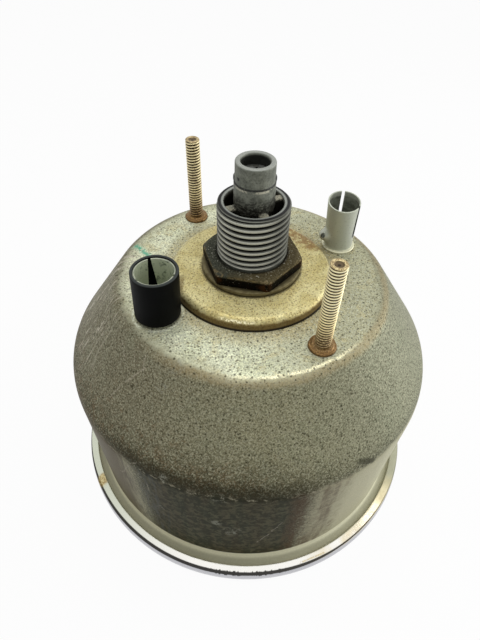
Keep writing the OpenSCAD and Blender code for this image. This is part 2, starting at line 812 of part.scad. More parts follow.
// Toothed wheel with straight-sided teeth
module toothed_wheel(r, teeth, w, bore) {
    step = 360 / teeth;
    depth = min(1.2, r * 0.28);
    difference() {
        linear_extrude(w) polygon([
            for (k = [0 : teeth - 1]) each [
                (r - depth) * unit(k * step - step * 0.38), r * unit(k * step - step * 0.16),
                r * unit(k * step + step * 0.16), (r - depth) * unit(k * step + step * 0.38)
            ]
        ]);
        translate([0, 0, -1]) cylinder(r = bore, h = w + 2);
    }
}

module drive_shaft() {
    color("#b6b9bc") difference() {
        union() {
            translate([0, 0, magnet_z]) cylinder(r = magnet_seat_r, h = magnet_t + eps);
            translate([0, 0, magnet_top])
                cylinder(r = magnet_stop_r, h = worm_z - worm_len / 2 - magnet_top + eps);
            translate([0, 0, worm_z - worm_len / 2]) worm(worm_r, worm_len, worm_len / 7);
            translate([0, 0, worm_z + worm_len / 2 - eps])
                cylinder(r = worm_r * 0.72, h = collar_top - worm_z - worm_len / 2 + eps);
            translate([0, 0, collar_top - collar_t]) cylinder(r = collar_r, h = collar_t);
            translate([0, 0, collar_top - eps]) cylinder(r = shaft_r, h = shaft_top - collar_top + eps);
        }
        translate([-square_w / 2, -square_w / 2, shaft_top - square_depth])
            cube([square_w, square_w, square_depth + 1]);
        translate([0, 0, magnet_z - 1]) cylinder(r = spindle_r + run_gap, h = pivot_depth + 1.5);
    }
}

module magnet() {
    color("#54575a") translate([0, 0, magnet_z]) ring(magnet_r, magnet_seat_r + seat_gap, magnet_t);
}

module field_ring() {
    outer = field_r + field_wall;
    color("#7d7f80") {
        translate([0, 0, field_z]) ring(outer, field_r, field_len);
        for (s = [0, 180]) rotate([0, 0, s]) difference() {
            translate([field_r + 0.3, -ear_w / 2, field_z + field_len - ear_t])
                cube([side_x - field_r - 0.3, ear_w, ear_t]);
            translate([0, 0, field_z]) cylinder(r = field_r + 0.2, h = field_len + 1);
        }
    }
}

module drag_cup() {
    color("#d0d2d3") translate([0, 0, cup_face_z]) difference() {
        union() {
            ring(cup_inner_r + cup_wall, cup_inner_r, cup_len);
            cylinder(r = cup_inner_r + eps, h = cup_wall);
            translate([0, 0, -cup_hub_len]) cylinder(r = bearing_r, h = cup_hub_len + eps);
        }
        translate([0, 0, -cup_hub_len - 1]) cylinder(r = spindle_r + seat_gap, h = cup_hub_len + 3);
    }
}

module spindle() {
    color("#c3c6c8") translate([0, 0, spindle_bottom])
        cylinder(r = spindle_r, h = magnet_z + pivot_depth - spindle_bottom);
}

module spindle_bearing() {
    color("#b9974c") translate([0, 0, bridge_z - bearing_front])
        ring(bearing_r, spindle_r + run_gap, bridge_t + bearing_front + 0.5);
}

module hairspring() {
    steps = spring_turns * 30;
    grow = (spring_out_r - spring_in_r) / steps;
    function spiral(shift) = [
        for (k = [0 : steps]) (spring_in_r + grow * k + shift) * unit(12 * k)
    ];
    inner = spiral(-spring_strip / 2);
    outer = spiral(spring_strip / 2);
    color("#4a6a8a") translate([0, 0, spring_z]) linear_extrude(spring_h)
        polygon(concat(outer, backwards(inner)));
}

module spring_collet() {
    color("#b9974c") translate([0, 0, collet_z]) ring(collet_r, spindle_r + seat_gap, collet_t);
}

module spring_lever() {
    color("#b9974c") {
        translate([0, 0, lever_z]) ring(lever_eye_r, bearing_r + seat_gap, lever_t);
        translate([0, 0, lever_z]) difference() {
            translate([bearing_r, -lever_w / 2, 0])
                cube([lever_pin_x + lever_w / 2 - bearing_r, lever_w, lever_t]);
            cylinder(r = bearing_r + 0.5, h = lever_t + 1);
        }
        translate([lever_pin_x, 0, spring_z]) cylinder(r = lever_pin_r, h = lever_z - spring_z + eps);
    }
}

module pointer() {
    hub_hole = spindle_r + seat_gap;
    color("#c8431f") rotate([0, 0, rest_angle]) translate([0, 0, pointer_z]) difference() {
        linear_extrude(pointer_t) polygon([
            [-pointer_tail, -pointer_w / 2], [0, -pointer_w / 2],
            [pointer_len - 2, -pointer_tip_w / 2], [pointer_len, 0],
            [pointer_len - 2, pointer_tip_w / 2], [0, pointer_w / 2], [-pointer_tail, pointer_w / 2]
        ]);
        translate([0, 0, -1]) cylinder(r = hub_hole, h = pointer_t + 2);
    }
}

module pointer_cap() {
    skirt = pointer_z - cap_z;
    color("#1b1b1b") translate([0, 0, cap_z]) difference() {
        union() {
            cylinder(r1 = cap_r - 0.6, r2 = cap_r, h = 0.6);
            translate([0, 0, 0.6]) cylinder(r = cap_r, h = skirt - 0.6);
        }
        translate([0, 0, spindle_bottom - cap_z]) cylinder(r = spindle_r + seat_gap, h = skirt);
    }
}

module stop_pin() {
    color("#b0b0b0") rotate([0, 0, rest_angle - stop_offset]) translate([stop_r, 0, pointer_z - 0.4])
        cylinder(r = stop_pin_r, h = dial_back - pointer_z + 0.4);
}

module cross_shaft() {
    color("#b6b9bc") {
        along_x(shaft_end_gap - side_out_x, cross_y, cross_z)
            cylinder(r = pin_r, h = 2 * (side_out_x - shaft_end_gap));
        along_x(upright_x - small_worm_len / 2, cross_y, cross_z)
            worm(small_worm_r, small_worm_len, small_worm_len / 5);
    }
}

module cross_wheel() {
    color("#c8a95a") along_x(-wheel_a_w / 2, cross_y, cross_z)
        toothed_wheel(wheel_a_r, wheel_a_teeth, wheel_a_w, pin_r + seat_gap);
}

module upright_shaft() {
    color("#b6b9bc") translate([upright_x, upright_y, 0]) {
        translate([0, 0, upright_bottom])
            cylinder(r = pin_r, h = lug_high_z + lug_t + 0.5 - upright_bottom);
        translate([0, 0, counter_z - small_worm_len / 2])
            worm(small_worm_r, small_worm_len, small_worm_len / 5);
    }
}

module upright_wheel() {
    color("#c8a95a") translate([upright_x, upright_y, cross_z - wheel_b_w / 2])
        toothed_wheel(wheel_b_r, wheel_b_teeth, wheel_b_w, pin_r + seat_gap);
}

module drum_axle() {
    color("#b6b9bc") along_x(-side_out_x, counter_y, counter_z) cylinder(r = pin_r, h = 2 * side_out_x);
}

// Tubes that keep the drums in place between the side plates
module drum_spacers() {
    color("#b6b9bc") {
        along_x(drums_end_x + drum_gap, counter_y, counter_z)
            ring(drum_spacer_r, pin_r + seat_gap, side_x - drums_end_x - drum_gap);
        along_x(-side_x, counter_y, counter_z)
            ring(drum_spacer_r, pin_r + seat_gap, side_x - drums_end_x - gear_w - drum_gap);
    }
}

module drum_gear() {
    color("#dcd7c4") along_x(-drums_end_x - gear_w, counter_y, counter_z)
        toothed_wheel(drum_r, drum_teeth, gear_w, pin_r + run_gap);
}

// The first drum turns fastest and is the last digit as the dial is read
module number_drum(i) {
    color("#222222") along_x((i - 3.5) * drum_pitch + drum_gap / 2, counter_y, counter_z)
        ring(drum_r, pin_r + run_gap, drum_w);
}

module pinion_shaft() {
    color("#b6b9bc") along_x(-side_out_x, counter_y, pinion_z)
        cylinder(r = pinion_pin_r, h = 2 * side_out_x);
}

module transfer_pinion(i) {
    color("#dcd7c4") along_x((i - 2.5) * drum_pitch - pinion_w / 2, counter_y, pinion_z)
        toothed_wheel(pinion_r, pinion_teeth, pinion_w, pinion_pin_r + run_gap);
}

case();
bezel();
glass();
glass_seal();
spacer_ring();
dial();
dial_screws();
dial_pillars();
connector();
frame();
frame_screws();
bridge();
shaft_bush();
connector_nut();
lock_washer();
dished_plate();
mounting_studs();
lamp_holder_bare();
lamp_holder_sleeved();
lamp_sleeve();
drive_shaft();
magnet();
field_ring();
drag_cup();
spindle();
spindle_bearing();
hairspring();
spring_collet();
spring_lever();
pointer();
pointer_cap();
stop_pin();
cross_shaft();
cross_wheel();
upright_shaft();
upright_wheel();
drum_axle();
drum_spacers();
drum_gear();
number_drum(1);  // number_drum_1
number_drum(2);  // number_drum_2
number_drum(3);  // number_drum_3
number_drum(4);  // number_drum_4
number_drum(5);  // number_drum_5
pinion_shaft();
transfer_pinion(1);  // transfer_pinion_1
transfer_pinion(2);  // transfer_pinion_2
transfer_pinion(3);  // transfer_pinion_3
transfer_pinion(4);  // transfer_pinion_4
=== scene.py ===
from types import SimpleNamespace
import bmesh
import bpy
import numpy as np
from mathutils import Matrix


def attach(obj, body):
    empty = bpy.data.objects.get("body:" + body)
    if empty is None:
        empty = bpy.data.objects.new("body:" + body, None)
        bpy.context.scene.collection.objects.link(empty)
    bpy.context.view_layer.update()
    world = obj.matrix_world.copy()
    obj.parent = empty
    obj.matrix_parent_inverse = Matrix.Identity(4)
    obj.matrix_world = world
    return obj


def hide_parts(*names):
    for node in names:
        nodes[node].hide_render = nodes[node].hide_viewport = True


# A round speedometer that lies on its front rim, seen from behind and above.
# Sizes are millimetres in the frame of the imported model: Z along the axis, the back up, +Y the dial's top.

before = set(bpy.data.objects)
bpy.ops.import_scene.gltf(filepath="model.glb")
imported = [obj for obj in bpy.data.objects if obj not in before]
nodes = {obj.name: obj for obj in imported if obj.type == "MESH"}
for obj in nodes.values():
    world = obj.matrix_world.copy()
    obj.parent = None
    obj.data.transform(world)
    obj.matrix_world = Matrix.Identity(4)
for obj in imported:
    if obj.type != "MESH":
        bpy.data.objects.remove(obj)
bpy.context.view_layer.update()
metre = 0.001  # one millimetre in metres
tau = 2 * np.pi


def paint(red, green, blue):  # a screen colour from 0 to 255 as linear light
    c = np.array([red, green, blue]) / 255
    linear = np.where(c <= 0.04045, c / 12.92, ((c + 0.055) / 1.055) ** 2.4)
    return (*linear.tolist(), 1.0)


def named(piece):  # the piece's dictionary, to be read as c.back
    return SimpleNamespace(**piece)


def unit(vector):
    return np.array(vector, float) / np.linalg.norm(vector)


def heading(degrees):  # unit vector in the plane of the dial
    a = np.radians(degrees)
    return np.array([np.cos(a), np.sin(a)])


def crosswise(out):  # a quarter turn on from a heading, lying flat
    return np.array([-out[1], out[0], 0])


# Shader maths

def emptyTree(owner):
    owner.use_nodes = True
    owner.node_tree.nodes.clear()
    return owner.node_tree


def addNode(tree, kind, settings, sockets, out=0):
    # Sockets get numbers or links; one output comes back
    made = tree.nodes.new(kind)
    for key, value in settings.items():
        setattr(made, key, value)
    for key, value in sockets.items():
        value = getattr(value, "socket", value)
        if isinstance(value, bpy.types.NodeSocket):
            tree.links.new(value, made.inputs[key])
        else:
            made.inputs[key].default_value = value
    return made.outputs[out] if made.outputs else None


def valueMath(kind, flipped=False):
    def work(self, other):
        pair = (other, self) if flipped else (self, other)
        return self.finish.math(kind, *pair)
    return work


class Wire:  # a value, colour or vector in a material; arithmetic on values adds Math nodes
    def __init__(self, finish, socket):
        self.finish = finish
        self.socket = socket

    __add__ = valueMath("ADD")
    __radd__ = valueMath("ADD")
    __sub__ = valueMath("SUBTRACT")
    __rsub__ = valueMath("SUBTRACT", flipped=True)
    __mul__ = valueMath("MULTIPLY")
    __rmul__ = valueMath("MULTIPLY")
    __truediv__ = valueMath("DIVIDE")
    __rtruediv__ = valueMath("DIVIDE", flipped=True)

    def lay(self, tone, value, low=None, high=None, share=1.0):
        # Covers this colour with a tone or a colour: by the value, or as the value goes from low to high
        cover = value if low is None else self.finish.fade(value, low, high)
        if share != 1.0:
            cover = cover * share
        self.socket = self.finish.mix(cover, self, tone).socket


class Finish:  # one material: plain numbers go on the shader, what varies is fed to it
    def __init__(self, name, shader, tones):
        self.material = bpy.data.materials.new(name)
        self.tree = emptyTree(self.material)
        self.shader = self.tree.nodes.new("ShaderNodeBsdfPrincipled")
        for socket, value in shader.items():
            self.shader.inputs[socket].default_value = value
        addNode(self.tree, "ShaderNodeOutputMaterial", {}, {0: self.shader.outputs[0]})
        self.tones = {key: paint(*colour) for key, colour in tones.items()}
        raw = self.node("ShaderNodeTexCoord", {}, {}, "Object")
        self.p = self.vector("SCALE", {0: raw, 3: 1 / metre})  # position on the object in millimetres

    def node(self, kind, settings, sockets, out=0):
        return Wire(self, addNode(self.tree, kind, settings, sockets, out))

    def math(self, kind, *values, **settings):
        return self.node("ShaderNodeMath", {"operation": kind, **settings}, dict(enumerate(values)))

    def vector(self, kind, sockets, out=0):
        return self.node("ShaderNodeVectorMath", {"operation": kind}, sockets, out)

    def split(self):
        return [self.node("ShaderNodeSeparateXYZ", {}, {0: self.p}, k) for k in range(3)]

    def join(self, x, y, z):
        return self.node("ShaderNodeCombineXYZ", {}, {0: x, 1: y, 2: z})

    def size(self, value):  # without its sign
        return self.math("ABSOLUTE", value)

    def noise(self, scale, detail, rough, bend=0.0, at=None):
        sockets = {"Vector": at or self.p, "Scale": scale, "Detail": detail}
        return self.node("ShaderNodeTexNoise", {}, {**sockets, "Roughness": rough, "Distortion": bend})

    def noises(self, settings):  # one for each name, from scale, detail, roughness and bend
        return [self.noise(*each) for each in settings.values()]

    def dots(self, scale, near, far, grain):
        # 1 in the middle of scattered dots, 0 between them; near and far are shares of a cell
        away = self.node("ShaderNodeTexVoronoi", {}, {"Vector": self.p, "Scale": scale})
        return self.fade(away + (grain - 0.5) * 0.5, far, near)

    def fade(self, value, low, high):  # smooth step from 0 at low to 1 at high
        sockets = {0: value, 1: low, 2: high, 3: 0.0, 4: 1.0}
        if low > high:
            sockets = {0: value, 1: high, 2: low, 3: 1.0, 4: 0.0}
        return self.node("ShaderNodeMapRange", {"interpolation_type": "SMOOTHSTEP"}, sockets)

    def band(self, value, wide, core):  # 1 where the value is within core of 0, 0 from wide on
        return self.fade(self.size(value), wide, core)

    def mix(self, factor, a, b, kind="MIX"):  # a and b are colours or names of tones
        a, b = (self.tones[c] if isinstance(c, str) else c for c in (a, b))
        settings = {"data_type": "RGBA", "blend_type": kind}
        return self.node("ShaderNodeMix", settings, {0: factor, 6: a, 7: b}, 2)

    def speckle(self, colour, grain, depth):  # lighter and darker with a noise about 0.5
        value = 1.0 + (grain - 0.5) * depth
        return self.mix(1.0, colour, self.join(value, value, value), "MULTIPLY")

    def bent(self, scale, amount):  # the position led astray, so that straight marks wander
        sockets = {"Vector": self.p, "Scale": scale, "Detail": 2.0}
        wander = self.node("ShaderNodeTexNoise", {}, sockets, "Color")
        centred = self.vector("SUBTRACT", {0: wander, 1: (0.5, 0.5, 0.5)})
        return self.vector("MULTIPLY_ADD", {0: centred, 1: (amount, amount, amount), 2: self.p})

    def apart(self, vector, point):  # distance from a point in millimetres
        return self.vector("DISTANCE", {0: vector, 1: tuple(point)}, "Value")

    def fromLine(self, vector, start, end):  # distance from a straight stretch between two points
        along = np.array(end, float) - start
        away = self.vector("SUBTRACT", {0: vector, 1: tuple(start)})
        dot = self.vector("DOT_PRODUCT", {0: away, 1: tuple(along)}, "Value")
        share = self.math("MULTIPLY", dot, 1 / (along @ along), use_clamp=True)
        near = self.vector("SCALE", {0: tuple(along), 3: share})
        return self.vector("DISTANCE", {0: away, 1: near}, "Value")

    def strokes(self, vector, lines, wide, soft):  # 1 on any of the straight stretches, 0 away from them
        return sum(self.fade(self.fromLine(vector, *line), wide + soft, wide) for line in lines)

    def around(self):
        # Distance from the instrument's axis, and height; the side is kept for toward and wrapped
        x, y, self.z = self.split()
        radius = self.math("MAXIMUM", self.math("SQRT", x * x + y * y), 0.01)
        self.east, self.north = x / radius, y / radius
        return radius, self.z

    def toward(self, degrees, low=None, high=None):
        # 1 on that side of the axis and -1 on the other; with limits, a fade between them
        c, s = heading(degrees).tolist()
        side = self.east * c + self.north * s
        return side if low is None else self.fade(side, low, high)

    def wrapped(self, across, up):  # a place for noise that is stretched up or round the axis
        return self.join(self.east * across, self.north * across, self.z * up)

    def feed(self, socket, wire):
        self.tree.links.new(wire.socket, self.shader.inputs[socket])

    def done(self, colour, rough, height, deep, strength, metallic=None):
        # Everything that varies, with the bumps' height and how deep they are in millimetres
        sockets = {"Strength": strength, "Distance": deep * metre, "Height": height}
        bump = self.node("ShaderNodeBump", {}, sockets)
        fed = {"Base Color": colour, "Roughness": rough, "Metallic": metallic, "Normal": bump}
        for socket, wire in fed.items():
            if wire:
                self.feed(socket, wire)
        return self


# Camera, floor and light

shot = {
    "place": (-50.744, -73.283, 142.864),
    "look": (0.37769, 0.57761, -0.723685),
    "roll": 1.39,          # degrees
    "focalPixels": 486.2,  # in a picture 640 pixels high
    "pictureHeight": 640,
    "sensor": 36.0,
    "photoSide": -124.7,   # side of the axis that faces the camera, degrees from +X
    "photoRight": -33.2,   # side of the axis that lies at the right of the picture
}

light = {
    "sky": 0.45,            # strength that lights the object; the camera sees white
    "overhead": (20, 40, 420, 260, 0.62),   # x, y, z, width in millimetres and power in watts
    "right": (330, -170, 130, 260, 0.8),
    "aim": 40,              # height that the lamps face
    "floorSize": 3000, "floorDrop": 0.05,   # the floor lies just under the rim
    "floorWhite": 0.95,     # share of plain white on the floor, the rest takes the shadow
}


def linked(name, data):  # a new object in the scene
    made = bpy.data.objects.new(name, data)
    bpy.context.collection.objects.link(made)
    return made


def placed(x, y, z, place):  # matrix from three axes and a place in millimetres
    return Matrix(np.vstack([np.array([x, y, z, np.array(place) * metre]).T, (0, 0, 0, 1)]).tolist())


def makeCamera():
    look = unit(shot["look"])
    right = unit(np.cross(look, (0, 0, 1)))
    up = np.cross(right, look)
    c, s = heading(shot["roll"])
    data = bpy.data.cameras.new("camera")
    data.sensor_fit = "VERTICAL"
    data.sensor_width = shot["sensor"]
    data.sensor_height = shot["sensor"]
    data.lens = shot["focalPixels"] / shot["pictureHeight"] * shot["sensor"]
    data.clip_start = 0.005
    camera = linked("camera", data)
    camera.matrix_world = placed(right * c + up * s, up * c - right * s, -look, shot["place"])
    bpy.context.scene.camera = camera


def makeLamp(name, x, y, z, width, watts):  # a square soft light that faces the middle of the object
    data = bpy.data.lights.new(name, "AREA")
    data.size = width * metre
    data.energy = watts
    back = unit((x, y, z - light["aim"]))
    side = unit(np.cross((0, 1, 0.01), back))
    linked(name, data).matrix_world = placed(side, np.cross(back, side), back, (x, y, z))


def seenRays(tree):  # 1 for rays from the camera, a mirror or glass
    path = tree.nodes.new("ShaderNodeLightPath")
    camera, mirror, glass = (path.outputs[f"Is {kind} Ray"] for kind in ("Camera", "Glossy", "Transmission"))
    either = addNode(tree, "ShaderNodeMath", {"operation": "MAXIMUM"}, {0: camera, 1: mirror})
    return addNode(tree, "ShaderNodeMath", {"operation": "MAXIMUM"}, {0: either, 1: glass})


def makeWorld():
    world = bpy.data.worlds.new("studio")
    tree = emptyTree(world)
    sky = addNode(tree, "ShaderNodeBackground", {}, {"Color": (1, 1, 1, 1), "Strength": light["sky"]})
    white = addNode(tree, "ShaderNodeBackground", {}, {"Color": (1, 1, 1, 1)})
    both = addNode(tree, "ShaderNodeMixShader", {}, {0: seenRays(tree), 1: sky, 2: white})
    addNode(tree, "ShaderNodeOutputWorld", {}, {0: both})
    bpy.context.scene.world = world


def makeFloor():
    half = light["floorSize"] / 2 * metre
    corners = [(-half, -half, 0), (half, -half, 0), (half, half, 0), (-half, half, 0)]
    mesh = bpy.data.meshes.new("floor")
    mesh.from_pydata(corners, [], [(0, 1, 2, 3)])
    material = bpy.data.materials.new("paleFloor")
    tree = emptyTree(material)
    matt = addNode(tree, "ShaderNodeBsdfDiffuse", {}, {"Color": (0.8, 0.8, 0.8, 1)})
    white = addNode(tree, "ShaderNodeEmission", {}, {})
    multiply = {"operation": "MULTIPLY"}
    share = addNode(tree, "ShaderNodeMath", multiply, {0: seenRays(tree), 1: light["floorWhite"]})
    both = addNode(tree, "ShaderNodeMixShader", {}, {0: share, 1: matt, 2: white})
    addNode(tree, "ShaderNodeOutputMaterial", {}, {0: both})
    mesh.materials.append(material)
    floor = linked("floor", mesh)
    floor.location.z = -light["floorDrop"] * metre


bpy.context.scene.view_settings.view_transform = "Standard"
makeCamera()
makeWorld()
makeFloor()
makeLamp("overheadLamp", *light["overhead"])
makeLamp("rightLamp", *light["right"])
print("camera, floor and light are in place")


# Surfaces

def roundedLine(corners, closed=True, step=0.15, least=3):
    # Corners are (radius, height, rounding); each turns on an arc that touches both of its sides
    points = np.array([c[:2] for c in corners], float)
    out = []
    for i, corner in enumerate(corners):
        rounding = corner[2] if len(corner) > 2 else 0
        if rounding == 0 or (not closed and i in (0, len(corners) - 1)):
            out.append(points[i][None])
            continue
        a = unit(points[i - 1] - points[i])
        b = unit(points[(i + 1) % len(points)] - points[i])
        half = np.arccos(np.clip(a @ b, -1, 1)) / 2
        centre = points[i] + unit(a + b) * rounding / np.sin(half)
        u = points[i] + a * rounding / np.tan(half) - centre
        v = points[i] + b * rounding / np.tan(half) - centre
        turn = np.arctan2(u[0] * v[1] - u[1] * v[0], u @ v)
        t = np.linspace(0, turn, max(least, int(np.ceil(abs(turn) * rounding / step)) + 1))
        out.append(centre + (np.outer(np.cos(t), u) + np.outer(np.sin(t), (-u[1], u[0]))))
    return np.concatenate(out)


def fineLine(line, longest, closed=True):
    # Each stretch longer than the limit gets evenly spaced points
    ends = np.roll(line, -1, axis=0) if closed else line[1:]
    starts = line if closed else line[:-1]
    counts = np.maximum(1, np.ceil(np.linalg.norm(ends - starts, axis=1) / longest).astype(int))
    pieces = [a + (b - a) * np.arange(n)[:, None] / n for a, b, n in zip(starts, ends, counts)]
    if not closed:
        pieces.append(line[-1:])
    return np.concatenate(pieces)


def thinned(line, threadR, every=4):
    # Keeps all points that lie on a thread's radius and one of several elsewhere, corners included
    onThread = np.abs(line[:, 0] - threadR) < 0.01
    ahead = np.roll(line, -1, axis=0) - line
    behind = line - np.roll(line, 1, axis=0)
    turning = np.abs(ahead[:, 0] * behind[:, 1] - ahead[:, 1] * behind[:, 0]) > 1e-5
    return line[onThread | turning | (np.arange(len(line)) % every == 0)]


def beside(points, distance):
    # The line of points moved to its right by a distance, with mitred corners
    points = np.array(points, float)
    d = np.diff(points, axis=0)
    d /= np.linalg.norm(d, axis=1)[:, None]
    right = np.stack([d[:, 1], -d[:, 0]], 1)
    first = np.vstack([right[:1], right])
    second = np.vstack([right, right[-1:]])
    return points + distance * (first + second) / (1 + (first * second).sum(1))[:, None]


def sheet(line, metal, roundings, steps, leasts, longest):
    # A line of corners, and on the way back the same line moved to its right by the metal's thickness
    sides = []
    both = zip((line, beside(line, metal)), roundings, steps, leasts, longest)
    for corners, rounds, step, least, most in both:
        corners = [(*q, k) for q, k in zip(corners, rounds)]
        side = roundedLine(corners, closed=False, step=step, least=least)
        sides.append(fineLine(side, most, closed=False))
    return np.concatenate([sides[0], sides[1][::-1]])


def gridFaces(rows, columns, closedRows=True):
    # Quads of a grid of points; with rows counterclockwise in (radius, height) they face outwards
    i = np.arange(rows if closedRows else rows - 1)[:, None]
    j = np.arange(columns)[None, :]
    down, across = (i + 1) % rows * columns, (j + 1) % columns
    corners = np.broadcast_arrays(i * columns + j, i * columns + across, down + across, down + j)
    return np.stack(corners, -1).reshape(-1, 4)


def counterclockwise(line):
    x, y = line[:, 0], line[:, 1]
    area = (x * np.roll(y, -1) - np.roll(x, -1) * y).sum()
    return line if area > 0 else line[::-1]


def turned(line, around=192, shape=None, centre=(0, 0)):
    # A closed outline of radius and height goes round the axis: x = r cos a, y = r sin a
    line = counterclockwise(line)
    r, a = np.meshgrid(line[:, 0], np.arange(around) * tau / around, indexing="ij")
    z = np.broadcast_to(line[:, 1][:, None], r.shape)
    if shape:
        r, z = shape(r, z, a)
    points = np.stack([centre[0] + r * np.cos(a), centre[1] + r * np.sin(a), z], -1)
    return points.reshape(-1, 3), gridFaces(len(line), around)


def lofted(rows):
    # Closed loops of as many points each, joined one to the next, with a fan of triangles at both ends
    count = len(rows[0])
    points = np.concatenate([*rows, rows[0].mean(0)[None], rows[-1].mean(0)[None]])
    k = np.arange(count)
    after = (k + 1) % count
    last = (len(rows) - 1) * count
    same = np.ones(count, int)
    firstCap = np.stack([same * (last + count), after, k, -same], 1)
    lastCap = np.stack([same * (last + count + 1), last + k, last + after, -same], 1)
    return points, np.concatenate([gridFaces(len(rows), count, closedRows=False), firstCap, lastCap])


def bar(outline, stations):
    # A closed outline (across, up) is carried along stations of (origin, across axis, scale)
    across, up = counterclockwise(np.array(outline, float)).T
    rise = np.outer(up, (0, 0, 1))
    rows = [origin + (np.outer(across * scale, axis) + rise) for origin, axis, scale in stations]
    return lofted(rows)


def rod(start, end, radius, around):
    # A round bar from one point to another: each end is its point + radius (u cos a + v sin a)
    along = unit(end - start)
    u = unit(np.cross(along, (0, 0, 1)))
    angle = np.arange(around) * tau / around
    loop = radius * (np.outer(np.cos(angle), u) + np.outer(np.sin(angle), np.cross(along, u)))
    return lofted([start + loop, end + loop])


def meshOf(name, shells):
    # Points in millimetres become a mesh in metres, merged where they meet; a triangle ends in -1
    offsets = np.cumsum([0] + [len(points) for points, _ in shells[:-1]])
    points = np.concatenate([points for points, _ in shells])
    faces = np.concatenate([np.where(f < 0, -1, f + start) for (_, f), start in zip(shells, offsets)])
    mesh = bpy.data.meshes.new(name)
    mesh.vertices.add(len(points))
    mesh.vertices.foreach_set("co", (points * metre).astype(np.float32).ravel())
    corners = faces[faces >= 0].astype(np.int32)
    sides = (faces >= 0).sum(1)
    mesh.loops.add(len(corners))
    mesh.loops.foreach_set("vertex_index", corners)
    mesh.polygons.add(len(faces))
    mesh.polygons.foreach_set("loop_start", (np.cumsum(sides) - sides).astype(np.int32))
    mesh.update(calc_edges=True)
    tidyMesh(mesh)
    return mesh


def tidyMesh(mesh):
    work = bmesh.new()
    work.from_mesh(mesh)
    bmesh.ops.remove_doubles(work, verts=work.verts, dist=2e-7)
    bmesh.ops.dissolve_degenerate(work, edges=work.edges, dist=1e-8)
    work.to_mesh(mesh)
    work.free()
    mesh.validate()


def cutAway(piece, shells):
    # Takes the shells' volume out of the piece
    tool = linked("cutter", meshOf("cutter", shells))
    cut = piece.modifiers.new("cut", "BOOLEAN")
    cut.operation = "DIFFERENCE"
    cut.solver = "EXACT"
    cut.object = tool
    solid = piece.evaluated_get(bpy.context.evaluated_depsgraph_get())
    mesh = bpy.data.meshes.new_from_object(solid)
    piece.modifiers.clear()
    old = piece.data
    piece.data = mesh
    mesh.name = old.name
    bpy.data.meshes.remove(old)
    bpy.data.objects.remove(tool)
    tidyMesh(mesh)


def makePiece(name, finish, shells, stands=None, body="instrument", cutters=None, sharp=35):
    piece = linked(name, meshOf(name, shells))
    if cutters:
        cutAway(piece, cutters)
    piece.data.materials.clear()
    piece.data.materials.append(finish.material)
    piece.data.shade_smooth()
    piece.data.set_sharp_from_angle(angle=np.radians(sharp))
    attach(piece, body)
    if stands:
        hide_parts(stands)


def dress(finish, *names):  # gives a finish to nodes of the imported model
    for name in names:
        mesh = nodes[name].data
        if not mesh.materials:
            mesh.materials.append(finish.material)
        for k in range(len(mesh.materials)):
            mesh.materials[k] = finish.material


# Case

